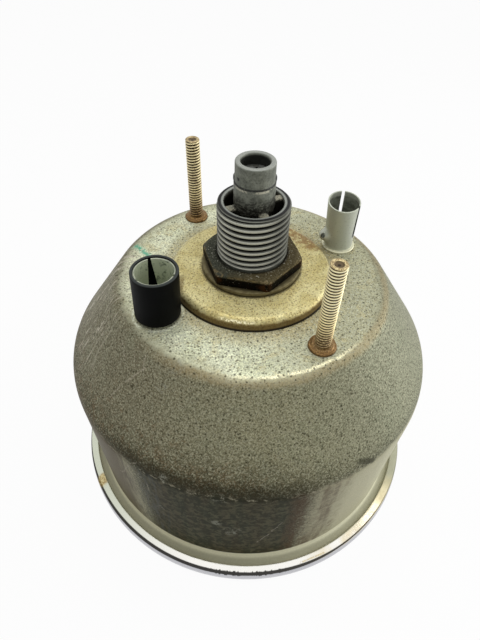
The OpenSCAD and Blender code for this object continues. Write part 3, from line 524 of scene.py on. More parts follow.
case = {
    "neck": 8.15, "back": 66.0, "metal": 0.8, "aroundSteps": 288,
    "backR": 32.1, "backRound": 4.7,
    "shoulderR": 46.6, "shoulderZ": 45.0, "shoulderRound": 8.0,
    "footR": 45.2, "lipRound": 2.0, "lipZ": 4.9, "lipBend": (47.5, 4.85), "lipEnd": (48.5, 4.3),
    "studAt": 27.2, "studHole": 2.05,
    "lampHoles": ((25.4, -4.7), (25.0, 181.9)), "lampHole": 3.6,
    "steel": {"Specular IOR Level": 0.02},
    "metallic": 0.36, "wallMetallic": 0.0,
    "creaseZ": 43.6, "footMark": 5.5, "lipHigh": 8.4,
    "noises": {  # scale, detail, roughness and bend
        "grain": (2.2, 2.0, 0.8), "fine": (3.6, 2.0, 0.7), "patch": (0.09, 4.0, 0.62, 0.4),
        "cloud": (0.22, 4.0, 0.65, 0.6), "small": (0.6, 4.0, 0.7, 0.5),
    },
    "pits": (0.9, 0.12, 0.25), "dots": (1.6, 0.22, 0.42),  # scale, near and far
    "tones": {
        "flat": (199, 202, 172), "flatPale": (213, 216, 189), "flatShade": (166, 165, 137),
        "flatWarm": (182, 170, 124), "flatLight": (226, 230, 208), "besidePlate": (156, 140, 94),
        "pinhole": (104, 100, 78), "pit": (58, 54, 40),
        "backEdgeHighlight": (250, 244, 206), "edgeWarm": (158, 138, 98),
        "coneShadedLeft": (126, 121, 99), "coneShadedFront": (147, 144, 115), "coneLitRight": (140, 142, 120),
        "coneCloud": (140, 146, 122), "coneLow": (64, 61, 45), "coneRust": (112, 82, 52),
        "coneDark": (62, 58, 43), "coneLight": (172, 170, 144),
        "wallLitTan": (178, 175, 147), "wallLitPale": (200, 198, 169), "wallShadeBlack": (48, 50, 35),
        "wallBrown": (84, 83, 63), "wallRed": (76, 56, 38), "wallBlue": (92, 97, 94),
        "wallLeft": (82, 70, 50),
        "creaseShade": (44, 43, 31), "rubbed": (176, 170, 146),
        "lip": (222, 218, 186), "lipRight": (230, 228, 198), "lipEdge": (180, 178, 152),
        "scratch": (176, 168, 150), "streak": (184, 178, 160), "dust": (146, 148, 134),
        "green": (62, 160, 130), "mint": (172, 206, 180), "stain": (58, 58, 44),
    },
    "scratches": (  # start and end points
        ((-44.5, -10.8, 31.0), (-44.2, -13.5, 32.8)), ((-44.2, -13.5, 32.8), (-43.2, -17.0, 40.5)),
        ((-43.2, -17.0, 40.5), (-42.6, -18.2, 43.4)), ((-42.6, -18.2, 43.4), (-40.8, -20.6, 45.9)),
        ((-22.2, -39.8, 17.3), (-19.8, -41.3, 23.2)), ((-19.6, -41.5, 24.2), (-17.5, -42.6, 29.7)),
        ((-40.9, -21.6, 37.6), (-40.9, -21.6, 34.0)), ((-32.9, -10.5, 62.5), (-37.0, -8.0, 57.7)),
        ((-38.2, -7.2, 56.0), (-40.7, -6.4, 52.8)), ((-20.5, -41.5, 43.0), (-14.6, -43.9, 43.2)),
        ((-34.2, -2.0, 62.6), (-35.5, -5.0, 60.8)), ((-33.0, -6.0, 63.4), (-34.6, -8.4, 61.6)),
        ((-31.8, -8.8, 64.2), (-34.6, -11.2, 60.6)),
    ),
    "scuffs": (  # point and reach
        ((-30.1, -35.2, 43.0), 2.6), ((-30.4, -34.5, 29.0), 2.2), ((-27.4, -36.6, 24.6), 3.4),
        ((-39.4, -23.7, 27.2), 1.4), ((-11.6, -44.1, 16.4), 2.2), ((-28.0, -15.3, 65.0), 2.2),
        ((-37.8, -25.6, 44.6), 2.0), ((-32.0, -15.6, 60.9), 1.8), ((-42.6, -16.3, 17.4), 1.6),
    ),
    "dabs": (((-19.4, 24.0, 66.0), (-18.9, 22.2, 66.0)), ((-18.7, 20.8, 66.0), (-18.4, 18.8, 66.0))),
    "stainLine": ((-0.6, -45.6, 46.4), (2.8, -45.9, 44.6)),
}


def caseFinish():
    c = named(case)
    f = Finish("pressedSteel", c.steel, c.tones)
    radius, z = f.around()
    rightward = f.toward(shot["photoRight"])
    grain, fine, patch, cloud, small = f.noises(c.noises)
    pits = f.dots(*c.pits, small)
    dots = f.dots(*c.dots, fine)

    # The back: pale greenish grey with fine dark specks and yellowish patches, brown next to the plate
    back = f.mix(f.fade(patch, 0.38, 0.62), "flat", "flatPale")
    # Painted shade on the right side of the back
    back.lay("flatShade", rightward, -0.1, 0.7)
    back.lay("flatWarm", cloud, 0.50, 0.66, 0.5)
    back.lay("besidePlate", radius + cloud * 5.0, 27.0, 23.0, 0.55)
    back.lay("flatLight", grain, 0.48, 0.38, 0.5)
    back.lay("pinhole", dots * f.fade(small, 0.3, 0.6) * 0.8)

    # The cone: olive grey; its darker tone than the back, dark at the left and paler at the right, is painted
    # shade and painted light; brown and darker towards the shoulder
    cone = f.mix(f.fade(rightward, -0.8, 0.1), "coneShadedLeft", "coneShadedFront")
    cone.lay("coneLitRight", rightward, 0.1, 0.9)
    cone.lay("coneCloud", patch, 0.42, 0.70, 0.3)
    higher = f.math("MAXIMUM", rightward * 10.0, rightward * -3.0)
    cone.lay("coneLow", z + cloud * 6.0 + higher, c.shoulderZ + 13.5, c.shoulderZ + 3.0, 0.85)
    low = f.fade(z, c.shoulderZ + 11.0, c.shoulderZ + 1.0)
    rust = f.fade(small + low * 0.16, 0.58, 0.74) * f.fade(rightward, 0.4, -0.2)
    cone.lay("coneRust", rust * f.fade(fine, 0.40, 0.56) * 0.5)
    cone.lay("coneDark", grain, 0.50, 0.58, 0.5)
    cone.lay("coneLight", grain, 0.48, 0.40, 0.75)
    cone.lay("coneDark", dots * (0.2 + f.fade(small, 0.3, 0.6) * 0.32))
    # The pale back ends on its rounded edge, with a thin painted highlight line on the side of the camera
    edge = radius - c.backR + (c.back - z) * 0.6  # millimetres past the corner, down the cone too
    sooner = f.fade(rightward, -0.1, -0.5) * 1.2 + f.fade(rightward, 0.75, 0.95) * 1.6
    # Painted shade on the back near its rounded edge, on the left side
    edgeShade = f.fade(edge + cloud * 3.0, -3.6, -0.1) * f.fade(rightward, 0.0, -0.3)
    back.lay("flatShade", edgeShade * 0.55)
    onBack = f.fade(edge + sooner + (cloud - 0.5) * 3.0 + (fine - 0.5) * 4.0, 1.7, -1.1)
    colour = f.mix(onBack, cone, back)
    warm = f.band(edge - 0.5 + (cloud - 0.5) * 2.0, 2.0, 0.4) * f.fade(rightward, -0.8, -0.3)
    colour.lay("edgeWarm", warm * 0.35)
    edgeHighlight = f.band(edge + 0.8 + (cloud - 0.5) * 1.2, 0.6, 0.1) * f.toward(-104, 0.86, 0.98)
    colour.lay("backEdgeHighlight", edgeHighlight * f.fade(small, 0.34, 0.52) * 0.85)

    # The side wall: smooth; nearly black in front in painted shade, brown at the left, tan in painted light
    # with soft streaks at the right
    upright = f.wrapped(40.0, 0.09)
    streak = f.noise(0.42, 3.0, 0.6, at=upright)
    streakFine = f.noise(1.6, 2.0, 0.6, at=upright)
    tan = f.mix(f.fade(streak, 0.2, 0.8), "wallLitTan", "wallLitPale")
    tan.lay("wallLitTan", rightward, 0.78, 0.60, 0.8)
    red = f.fade(streak + small * 0.5, 0.60, 0.92)
    black = f.mix(f.fade(small, 0.42, 0.62), "wallShadeBlack", "wallBrown")
    black.lay("wallRed", red * 0.22)
    shadedSide = f.fade(f.toward(-131) + (grain - 0.5) * 0.1 + (small - 0.5) * 0.06, 0.862, 0.935)
    wall = f.mix(shadedSide, tan, black)
    redSide = f.fade(f.toward(-102) + (small - 0.5) * 0.02, 0.982, 0.998)
    wall.lay("wallRed", redSide * (0.2 + red * 0.5))
    blueSide = f.toward(-155, 0.984, 0.998) * f.fade(streakFine, 0.46, 0.64)
    wall.lay("wallBlue", blueSide * 0.4)
    brownSide = f.fade(f.toward(179) + (streakFine - 0.5) * 0.06, 0.90, 0.96)
    wall.lay("wallLeft", brownSide * 0.85)
    hoops = f.noise(1.2, 3.0, 0.6, at=f.wrapped(3.0, 1.0))
    wall.lay("wallLitTan", f.fade(hoops, 0.44, 0.62) * f.fade(rightward, 0.5, 0.8) * 0.3)
    wall = f.speckle(wall, fine, 0.5)
    onWall = f.fade(z + (small - 0.5) * 2.0, c.shoulderZ + 0.2, c.shoulderZ - 1.8)
    colour.lay(wall, onWall)

    # The crease: a band of painted shade with a thin broken line that has been rubbed bright
    frontSide = f.toward(-128)
    creaseShade = f.band(z - c.shoulderZ - 0.2 + (cloud - 0.5) * 4.0, 3.6, 0.4) * f.toward(-137, 0.80, 0.97)
    colour.lay("creaseShade", creaseShade * 0.7)
    beads = f.fade(small, 0.47, 0.56) * f.fade(frontSide, 0.68, 0.80)
    wander = z - c.creaseZ + (cloud - 0.5) * 3.0
    rubbed = f.band(wander, 0.30, 0.06) * beads * f.fade(fine, 0.38, 0.54)
    haze = f.band(wander, 1.8, 0.2) * f.fade(small, 0.54, 0.66) * f.fade(frontSide, 0.72, 0.86)
    colour.lay("rubbed", rubbed * 0.6 + haze * 0.3)

    # The lip: olive made pale with painted light, paler at the right, with painted shade where it goes under
    # the bezel
    lip = f.mix(f.fade(rightward, -0.6, 0.7), "lip", "lipRight")
    lip.lay("lipEdge", z, c.lipZ + 1.3, c.lipZ + 0.3)
    colour.lay(lip, z + (small - 0.5) * 0.6, c.lipHigh, c.lipHigh - 0.7)

    # Scratches, pale rubbed streaks down the left side, scuffs and dabs of green
    onCone = f.fade(z + (small - 0.5) * 30.0, c.shoulderZ - 1.0, c.shoulderZ + 11.0)
    streaks = f.fade(streakFine, 0.50, 0.60) * f.fade(small, 0.40, 0.56) * f.toward(152, 0.88, 0.98)
    colour.lay("streak", streaks * onCone * 0.85)
    bent = f.bent(0.5, 1.0)
    scratch = f.strokes(bent, c.scratches, 0.10, 0.16)
    colour.lay("scratch", scratch * f.fade(fine, 0.36, 0.54) * 0.5)
    away, turn = c.lampHoles[1]
    sleeveFoot = (*(heading(turn) * away), c.back)
    ringMark = f.band(f.apart(f.p, sleeveFoot) - c.footMark, 0.4, 0.12) * f.fade(small, 0.36, 0.5)
    colour.lay("flatLight", ringMark * 0.6)
    scuff = sum(f.fade(f.apart(bent, spot), reach, reach * 0.3) for spot, reach in c.scuffs)
    colour.lay("dust", scuff * f.fade(small + (fine - 0.5) * 0.4, 0.50, 0.60) * 0.6)
    ragged = f.bent(1.2, 1.2)
    colour.lay("mint", f.strokes(ragged, c.dabs, 0.4, 1.2) * f.fade(small, 0.36, 0.56) * 0.6)
    colour.lay("green", f.strokes(ragged, c.dabs, 0.15, 0.55) * f.fade(fine, 0.34, 0.5) * 0.85)
    colour.lay("stain", f.fromLine(ragged, *c.stainLine), 1.1, 0.4, 0.7)

    colour.lay("pit", pits * (1.0 - onWall) * 0.75)
    colour = f.speckle(colour, fine, 2.0 - onWall * 1.6)
    colour = f.speckle(colour, grain, 1.4 - onWall * 1.2)
    rough = 0.52 - onWall * 0.08 + (grain - 0.5) * 0.3
    height = (grain * 0.6 + fine * 0.4) * (1.0 - onWall * 0.85)
    metallic = c.metallic - onWall * (c.metallic - c.wallMetallic)
    return f.done(colour, rough, height, 0.05, 0.6, metallic)


def makeCase():
    c = named(case)
    line = [(c.neck, c.back), (c.backR, c.back), (c.shoulderR, c.shoulderZ), (c.footR, c.lipZ),
            c.lipBend, c.lipEnd]
    m = c.metal
    outer = np.array([0, c.backRound, c.shoulderRound, c.lipRound, m + 0.1, 0])
    inner = outer + (0, -m, -m, m, -m, 0)
    outline = sheet(line, m, (outer, inner), (0.4, 0.6), (8, 6), (1.6, 3.0))
    hole = np.array([(0.0, -3.0), (1.0, -3.0), (1.0, 3.0), (0.0, 3.0)])
    studs = [(c.studAt, side * 90, c.studHole) for side in (1, -1)]
    lamps = [(away, turn, c.lampHole) for away, turn in c.lampHoles]
    cutters = [turned(hole * (radius, 1) + (0, c.back), 48, centre=heading(turn) * away)
               for away, turn, radius in studs + lamps]
    shell = turned(outline, c.aroundSteps)
    makePiece("caseShell", caseFinish(), [shell], "case", cutters=cutters)


makeCase()
print("case is made")


# Bezel

bezel = {
    "outer": 50.0, "metal": 0.6, "crimpIn": 47.4, "crimpTop": 5.4, "crimpUnder": 5.0,
    "rollZ": 4.12, "rollRound": 1.6,  # the rolled edge slopes down to here
    "lineFront": 44.8, "lineSide": 46.1,  # radius less height at the dark line
    "frontRound": 3.0, "frontIn": 45.4, "viewR": 43.9, "viewZ": 1.3, "aroundSteps": 384,
    "chrome": {"Specular IOR Level": 0.2}, "metallic": 0.9,
    "noises": {"patch": (0.12, 3.0, 0.6), "fine": (1.8, 3.0, 0.6)},
    "tones": {
        "front": (252, 250, 244), "left": (206, 210, 192), "right": (158, 158, 134), "line": (36, 33, 28),
        "creamHighlight": (224, 206, 152), "gold": (150, 120, 60), "goldPale": (206, 190, 136),
        "side": (196, 196, 200), "edge": (150, 148, 128),
    },
    "goldSpot": (-48.6, 2.6, 5.0), "goldLine": ((-12.6, -47.0, 4.75), (-5.6, -48.35, 4.75)),
}


def bezelFinish():
    b = named(bezel)
    f = Finish("rubbedChrome", b.chrome, b.tones)
    radius, z = f.around()
    rightward = f.toward(shot["photoRight"])
    patch, fine = f.noises(b.noises)
    ticks = f.noise(1.5, 2.0, 0.7, at=f.wrapped(50.0, 0.2))
    # Painted reflections: white in front, pale green at the left, duller greenish at the right, with a
    # painted cream highlight between front and right
    colour = f.mix(f.fade(rightward, -0.25, -0.9), "front", "left")
    dull = f.fade(f.toward(-15) + (patch - 0.5) * 0.2, 0.42, 0.74)
    colour.lay("right", dull)
    creamHighlight = f.toward(-80, 0.90, 0.99) * f.fade(patch, 0.38, 0.56)
    colour.lay("creamHighlight", creamHighlight * 0.55)
    # A thin painted dark reflection runs round where the edge turns down, ragged on the front side
    ragged = f.toward(-122, 0.97, 0.995) * f.fade(ticks, 0.5, 0.6) * 0.5
    front = f.toward(shot["photoSide"], 0.1, 0.9)
    along = radius - z - b.lineSide + front * (b.lineSide - b.lineFront)
    line = f.fade(f.size(along) + f.fade(rightward, 0.2, 0.7) * 0.3 - ragged * 0.6, 0.75, 0.40)
    line = line * (1.0 - dull * 0.7) * f.fade(z, 1.6, 2.4)
    # Painted reflection: lighter grey on the outer wall below the line
    colour.lay("side", along, 0.3, 0.6)
    colour.lay("line", line * 0.95)
    gold = f.fade(f.apart(f.bent(1.0, 1.0), b.goldSpot), 2.6, 1.2)
    gold = gold + f.strokes(f.p, [b.goldLine], 0.08, 0.25) * f.fade(fine, 0.36, 0.5) * 0.8
    colour.lay(f.mix(f.fade(fine, 0.44, 0.58), "gold", "goldPale"), gold * 0.85)
    # Painted shade at the inner edge of the crimp, next to the case
    colour.lay("edge", radius, b.crimpIn + 0.4, b.crimpIn + 0.1, 0.7)
    rough = 0.18 + f.fade(fine, 0.45, 0.75) * 0.16 + gold * 0.2 + line * 0.4 + dull * 0.3
    metallic = (1.0 - f.math("MAXIMUM", line, dull * 0.85)) * b.metallic
    return f.done(colour, rough, fine * 0.5 + patch, 0.03, 0.4, metallic)


def makeBezel():
    b = named(bezel)
    m = b.metal
    outside = [(b.viewR, b.viewZ), (b.viewR + 0.4, 0.7, 0.3), (b.frontIn, 0, 0.5),
               (b.outer, 0, b.frontRound), (b.outer, b.rollZ, b.rollRound),
               (b.crimpIn, b.crimpTop, 0.12), (b.crimpIn, b.crimpUnder)]
    inside = [(b.viewR + m, b.viewZ), (b.viewR + m + 0.2, 1.0, 0.2), (b.frontIn + 0.2, m, 0.3),
              (b.outer - m, m, b.frontRound - m), (b.outer - m, b.rollZ - m * 0.6, b.rollRound - m),
              (b.crimpIn, b.crimpUnder)]
    outer = roundedLine(outside, closed=False, step=0.12, least=5)
    inner = roundedLine(inside, closed=False, step=0.2, least=4)[:-1]
    outline = fineLine(np.concatenate([outer, inner[::-1]]), 0.7)

    def worn(r, z, a):  # the rolled edge isn't quite even: three waves round it
        share = np.clip((b.outer - 1.0 - r) / 2, 0, 1) * (z > b.rollZ + 0.08)
        wave = 0.03 * np.sin(9 * a) + 0.025 * np.sin(23 * a + 1) + 0.015 * np.sin(61 * a)
        return r + share * (0.04 + wave), z - share * np.abs(wave)

    shell = turned(outline, b.aroundSteps, worn)
    makePiece("bezelRing", bezelFinish(), [shell], "bezel", sharp=40)


makeBezel()
print("bezel is made")


# Cable connector

connector = {
    "hubR": 6.5, "hubZ": 56.0, "flangeR": 13.0, "flangeZ": 62.2, "flangeTop": 65.2, "shankR": 7.8,
    "threadFrom": 73.3, "threadTo": 85.65, "threadR": 8.0, "pitch": 1.45, "depth": 0.78, "sleeveTop": 86.1,
    "sleeveBore": 6.4, "wellZ": 69.0, "webTop": 85.8, "webWide": 2.0, "webTurn": -9.7,
    "neckR": 4.05, "bandLow": 84.5, "bandR": 4.4, "bandTop": 90.9, "tubeR": 4.2, "tubeTop": 95.3,
    "lumpsTo": 88.6, "earTurn": 146.8, "earWide": 11.0, "earHigh": 1.2, "earProud": 0.3,
    "boreR": 2.95, "bushR": 4.22, "bushTop": 63.0, "aroundSteps": 176,
    "pit": (-4.2, -0.2, 92.4), "pitR": 0.34,
    "zinc": {"Metallic": 0.35, "Specular IOR Level": 0.3},
    "noises": {"fine": (2.6, 3.0, 0.7), "patch": (0.6, 4.0, 0.65, 0.5)},
    "tones": {
        "zinc": (98, 101, 91), "zincPale": (128, 131, 119), "speck": (50, 49, 38), "crest": (74, 75, 66),
        "crestLit": (126, 127, 117), "crestHighlight": (206, 206, 192), "root": (10, 10, 8),
        "rim": (156, 159, 152), "grime": (66, 64, 52),
        "grease": (24, 21, 15), "web": (158, 154, 134), "bore": (30, 31, 29), "seamLight": (196, 192, 172),
    },
}


def grooveDepth(z, a, pitch, wide):
    # The groove winds up the axis: its phase is z / pitch less the turn a; wide is its half width in pitches,
    # and its depth goes from 0 at its sides to 1 in the middle on a smooth S
    phase = (z / pitch - a / tau) % 1
    s = np.clip(1 - np.abs(phase - 0.5) / wide, 0, 1)
    return s * s * (3 - 2 * s)


def connectorFinish():
    c = named(connector)
    f = Finish("castZinc", c.zinc, c.tones)
    radius, z = f.around()
    fine, patch = f.noises(c.noises)
    colour = f.mix(f.fade(patch, 0.35, 0.65), "zinc", "zincPale")
    colour.lay("speck", fine, 0.52, 0.66, 0.55)
    # Threads: crests painted lighter on the lit side with a painted highlight along their tops, and roots
    # painted black as shade
    threaded = f.fade(radius, c.sleeveBore + 0.3, c.sleeveBore + 0.5)
    threaded = threaded * f.fade(z, c.threadFrom - 0.3, c.threadFrom + 0.1)
    lit = f.toward(-145, 0.35, 1.0)
    crest = f.mix(lit * 0.8 + (patch - 0.5) * 0.8, "crest", "crestLit")
    crest.lay("crestHighlight", radius, c.threadR - 0.16, c.threadR - 0.02, 0.12 + lit * 0.78)
    crest.lay("speck", fine, 0.60, 0.70, 0.4)
    crest.lay("root", radius, c.threadR - 0.24, c.threadR - 0.46)
    colour.lay(crest, threaded)
    # Painted highlight on the rims of the threaded sleeve and of the tube
    rim = f.band(radius - c.sleeveBore - 0.3, 0.45, 0.15) * f.fade(z, c.sleeveTop - 0.5, c.sleeveTop - 0.2)
    rim = f.fade(z, c.tubeTop - 0.3, c.tubeTop - 0.05) + rim
    colour.lay("rim", rim * 0.8)
    # The tube: a seam with bright dots and a painted shade line, ears at both sides and a pit painted dark as
    # shade, and layers of grease below
    tube = f.fade(radius, c.bandR + 0.6, c.bandR + 0.35) * f.fade(radius, c.boreR + 0.35, c.boreR + 0.65)
    layers = f.noise(1.0, 3.0, 0.65, 0.3, at=f.wrapped(6.0, 2.4))
    grime = tube * f.fade(z + patch * 5.0 + layers * 2.0, c.bandTop + 3.1, c.bandTop - 2.4)
    colour.lay("grime", grime * 0.6)
    grease = tube * f.fade(z + patch * 3.0, c.bandTop + 0.1, c.bandTop - 2.9) * f.fade(layers, 0.62, 0.46)
    colour.lay("grease", grease * 0.9)
    dots = f.band(z - (c.bandTop - 0.45), 0.35, 0.15) * tube * f.fade(patch + fine * 0.5, 0.72, 0.80)
    colour.lay("seamLight", dots * 0.8)
    seam = f.band(z - (c.bandTop - 0.02) + (fine - 0.5) * 0.2, 0.26, 0.12) * tube * f.fade(fine, 0.30, 0.42)
    colour.lay("root", seam * 0.9)
    ears = f.fade(f.size(f.toward(c.earTurn)), 0.970, 0.985) * f.band(z - (c.bandTop + 0.6), 0.75, 0.6)
    pit = f.fade(f.apart(f.p, c.pit), c.pitR + 0.12, c.pitR - 0.08)
    colour.lay("root", ears * tube + pit)
    # The well is black with old grease and painted shade, the tops of the webs are pale
    inWell = f.fade(radius, c.bandR + 0.06, c.bandR + 0.2)
    inWell = inWell * f.fade(radius, c.sleeveBore + 0.2, c.sleeveBore + 0.02)
    inWell = inWell * f.fade(z + patch * 1.5, c.sleeveTop + 0.9, c.sleeveTop - 0.1)
    colour.lay("grease", inWell * 0.97)
    onWeb = f.fade(radius, c.bandR + 0.1, c.bandR + 0.5)
    onWeb = onWeb * f.fade(radius, c.sleeveBore + 0.05, c.sleeveBore - 0.1)
    onWeb = onWeb * f.fade(z, c.webTop - 0.8, c.webTop - 0.2)
    colour.lay("web", onWeb * f.fade(fine + patch * 0.6, 0.95, 0.75) * 0.9)
    # Painted shade down the tube's bore
    bore = f.fade(radius, c.boreR + 0.3, c.boreR + 0.05)
    colour.lay("bore", bore * f.fade(z, c.tubeTop - 0.1, c.tubeTop - 0.7) * 0.9)
    return f.done(colour, 0.40 + patch * 0.25, fine * 0.6 + patch * 0.8, 0.06, 0.6)


def makeConnector():
    c = named(connector)
    outline = roundedLine([
        (c.bushR, c.hubZ), (c.hubR, c.hubZ, 0.3), (c.hubR, c.flangeZ),
        (c.flangeR, c.flangeZ, 0.4), (c.flangeR, c.flangeTop, 0.4), (c.shankR, c.flangeTop),
        (c.shankR, c.threadFrom), (c.threadR, c.threadFrom + 0.2), (c.threadR, c.threadTo),
        (c.threadR - 0.45, c.sleeveTop, 0.2), (c.sleeveBore + 0.1, c.sleeveTop, 0.2),
        (c.sleeveBore, c.sleeveTop - 0.6), (c.sleeveBore, c.wellZ, 0.5), (c.neckR, c.wellZ, 0.6),
        (c.neckR, c.bandLow - 0.25), (c.bandR, c.bandLow, 0.12), (c.bandR, c.bandTop - 0.1, 0.15),
        (c.tubeR, c.bandTop + 0.15, 0.2), (c.tubeR, c.tubeTop, 0.4),
        (c.boreR + 0.3, c.tubeTop, 0.15), (c.boreR, c.tubeTop - 0.5), (c.boreR, c.bushTop),
        (c.bushR, c.bushTop),
    ], step=0.12)
    outline = thinned(fineLine(outline, 0.1), c.threadR)

    def cast(r, z, a):
        onThread = (r > c.threadR - 0.03) & (z > c.threadFrom) & (z < c.threadTo + 0.3)
        runOut = np.clip((z - c.threadFrom - 0.2) / 0.8, 0, 1)
        r = r - np.where(onThread, c.depth * runOut * grooveDepth(z, a, c.pitch, 0.38), 0)
        # The tube is greasy and lumpy low down, and has an ear at both sides above its seam
        tube = (r < c.bandR + 0.2) & (r > c.boreR + 0.25) & (z > c.wellZ + 1)
        low = np.clip((c.lumpsTo - z) / 3, 0, 1)
        lumps = 0.05 * np.sin(5 * a + z) + 0.04 * np.sin(9 * a - 2.3 * z) + 0.06 * np.sin(4 * z)
        turn = (np.degrees(a) - c.earTurn + 90) % 180 - 90
        # The ears fade away round the tube and up it, as e to the minus fourth power of the distance
        ear = c.earProud * np.exp(-(turn / c.earWide) ** 4)
        ear = ear * np.exp(-((z - c.bandTop - 0.6) / c.earHigh * 2) ** 4)
        return r + np.where(tube, lumps * low + ear * (z > c.bandTop), 0), z

    shells = [turned(outline, c.aroundSteps, cast)]
    t = np.linspace(0, np.pi, 9)
    half = c.webWide / 2
    top = c.webTop - c.wellZ
    crown = np.stack([half * np.cos(t), top - half * 0.5 + half * 0.5 * np.sin(t)], 1)
    outline = np.concatenate([[(-half, -0.3), (half, -0.3)], crown])
    seeded = np.random.default_rng(5)
    for k in range(4):
        out = heading(c.webTurn + 90 * k)
        reach = np.linspace(c.neckR - 0.5, c.sleeveBore + 0.35, 8)
        slope = seeded.uniform(0.9, 1.1, len(reach))
        stations = [((*(out * r), c.wellZ), crosswise(out), s) for r, s in zip(reach, slope)]
        shells.append(bar(outline, stations))
    makePiece("cableConnector", connectorFinish(), shells, "connector", sharp=45)


makeConnector()
print("connector is made")


# Nut, ring and dished plate

nut = {
    "acrossFlats": 20.6, "turn": 15.7, "low": 70.0, "high": 73.0, "bore": 7.82,
    "chamferHigh": 0.7, "chamferIn": 1.3, "aroundSteps": 360,
    "steel": {"Metallic": 0.06, "Specular IOR Level": 0.03},
    "noises": {"fine": (2.6, 3.0, 0.7), "patch": (0.5, 4.0, 0.65, 0.6)},
    "tones": {
        "topLeft": (66, 68, 58), "topRight": (84, 76, 54), "side": (6, 5, 2), "sideRed": (30, 17, 8),
        "rust": (98, 62, 30), "rubbed": (138, 122, 88), "paintedGlint": (200, 198, 184),
        "bore": (20, 19, 14), "pale": (96, 92, 76),
    },
}


def hexRadius(a):
    # Distance from the middle to the side of a hexagon in the direction a
    away = (np.degrees(a) - nut["turn"]) % 60 - 30
    corner = nut["acrossFlats"] / 2 / np.cos(np.radians(30))
    flat = nut["acrossFlats"] / 2 / np.cos(np.radians(away))
    soft = 0.16 * np.exp(-((30 - np.abs(away)) / 1.6) ** 2)
    return np.minimum(flat - soft, corner)


def nutFinish():
    n = named(nut)
    f = Finish("rustyNut", n.steel, n.tones)
    radius, z = f.around()
    fine, patch = f.noises(n.noises)
    top = f.mix(f.fade(f.toward(-70) + (patch - 0.5) * 1.2, -0.2, 0.7), "topLeft", "topRight")
    side = f.mix(f.fade(patch, 0.50, 0.62) * 0.8, "side", "sideRed")
    onTop = f.fade(z, n.high - 1.0, n.high - 0.5)
    colour = f.mix(onTop, side, top)
    colour.lay("rust", radius + patch * 3.0, 12.6, 13.6, 0.3)
    # Rubbed bright in places along the upper edges, with small painted glints
    edge = f.band(z - (n.high - 0.38), 0.36, 0.12) * f.fade(patch + fine * 0.4, 0.66, 0.76)
    colour.lay("rubbed", edge * 0.6)
    colour.lay("pale", f.fade(fine, 0.56, 0.66) * onTop * 0.5)
    colour.lay("bore", fine, 0.44, 0.36, 0.5)
    nearThread = f.fade(radius, 10.6, 8.4) * 0.06
    colour.lay("paintedGlint", fine + nearThread, 0.66, 0.72, 0.85)
    # Painted shade on the top next to the bore
    colour.lay("bore", radius, 8.9, 8.2, 0.8)
    return f.done(f.speckle(colour, fine, 1.2), 0.42 + patch * 0.3, fine * 0.5 + patch, 0.09, 0.7)


def makeNut():
    n = named(nut)
    a = np.arange(n.aroundSteps) * tau / n.aroundSteps + np.radians(n.turn)
    side = hexRadius(a)
    corner = n.acrossFlats / 2 / np.cos(np.radians(30))
    edge = np.minimum(side, corner - n.chamferIn)
    slope = n.chamferHigh / n.chamferIn
    high = n.high - slope * np.maximum(side - (corner - n.chamferIn), 0)
    same = np.ones_like(a)
    rows = [
        (n.bore * same, n.low * same), (side - 0.25, n.low * same), (side - 0.04, (n.low + 0.08) * same),
        (side, (n.low + 0.25) * same), (side, (n.low + 1.3) * same), (side, high - 0.22),
        (side - 0.03, high - 0.07), (side - 0.12, high + 0.02 * (high < n.high - 0.05)),
        ((side + edge) / 2 - 0.1, (high + n.high) / 2 - 0.01), (edge - 0.12, n.high - 0.02 * same),
        (edge - 0.4, n.high * same), ((edge + n.bore) / 2, n.high * same),
        ((n.bore + 0.35) * same, n.high * same), (n.bore * same, (n.high - 0.3) * same),
    ]
    r = np.stack([row[0] for row in rows])
    z = np.minimum(np.stack([row[1] for row in rows]), n.high)
    points = np.stack([r * np.cos(a), r * np.sin(a), z], -1).reshape(-1, 3)
    shell = points, gridFaces(len(rows), n.aroundSteps)
    makePiece("hexNut", nutFinish(), [shell], "connector_nut", sharp=30)


ring = {
    "outer": 11.6, "inner": 8.15, "low": 69.0, "high": 70.0,
    "steel": {"Metallic": 0.3, "Specular IOR Level": 0.3}, "patch": (0.7, 4.0, 0.65, 0.4),
    "tones": {"tan": (112, 103, 70), "tanDark": (92, 83, 54), "foot": (30, 24, 14), "top": (66, 58, 36)},
}


def ringFinish():
    g = named(ring)
    f = Finish("ringSteel", g.steel, g.tones)
    radius, z = f.around()
    patch = f.noise(*g.patch)
    colour = f.mix(f.fade(patch, 0.4, 0.62), "tan", "tanDark")
    # Painted shade along the foot, where it sits on the plate, and on the top under the nut
    colour.lay("foot", z, g.low + 0.40, g.low + 0.05, 0.85)
    onTop = f.fade(z, g.high - 0.2, g.high - 0.05)
    colour.lay("top", f.fade(radius, g.outer - 0.5, g.outer - 1.0) * onTop * 0.8)
    return f.done(colour, 0.45 + patch * 0.3, patch, 0.05, 0.6)


def makeRing():
    g = named(ring)
    outline = roundedLine([(g.inner, g.low, 0.1), (g.outer, g.low, 0.15),
                           (g.outer, g.high, 0.25), (g.inner, g.high, 0.1)], step=0.1)
    makePiece("lockRing", ringFinish(), [turned(fineLine(outline, 0.8), 160)], "lock_washer")


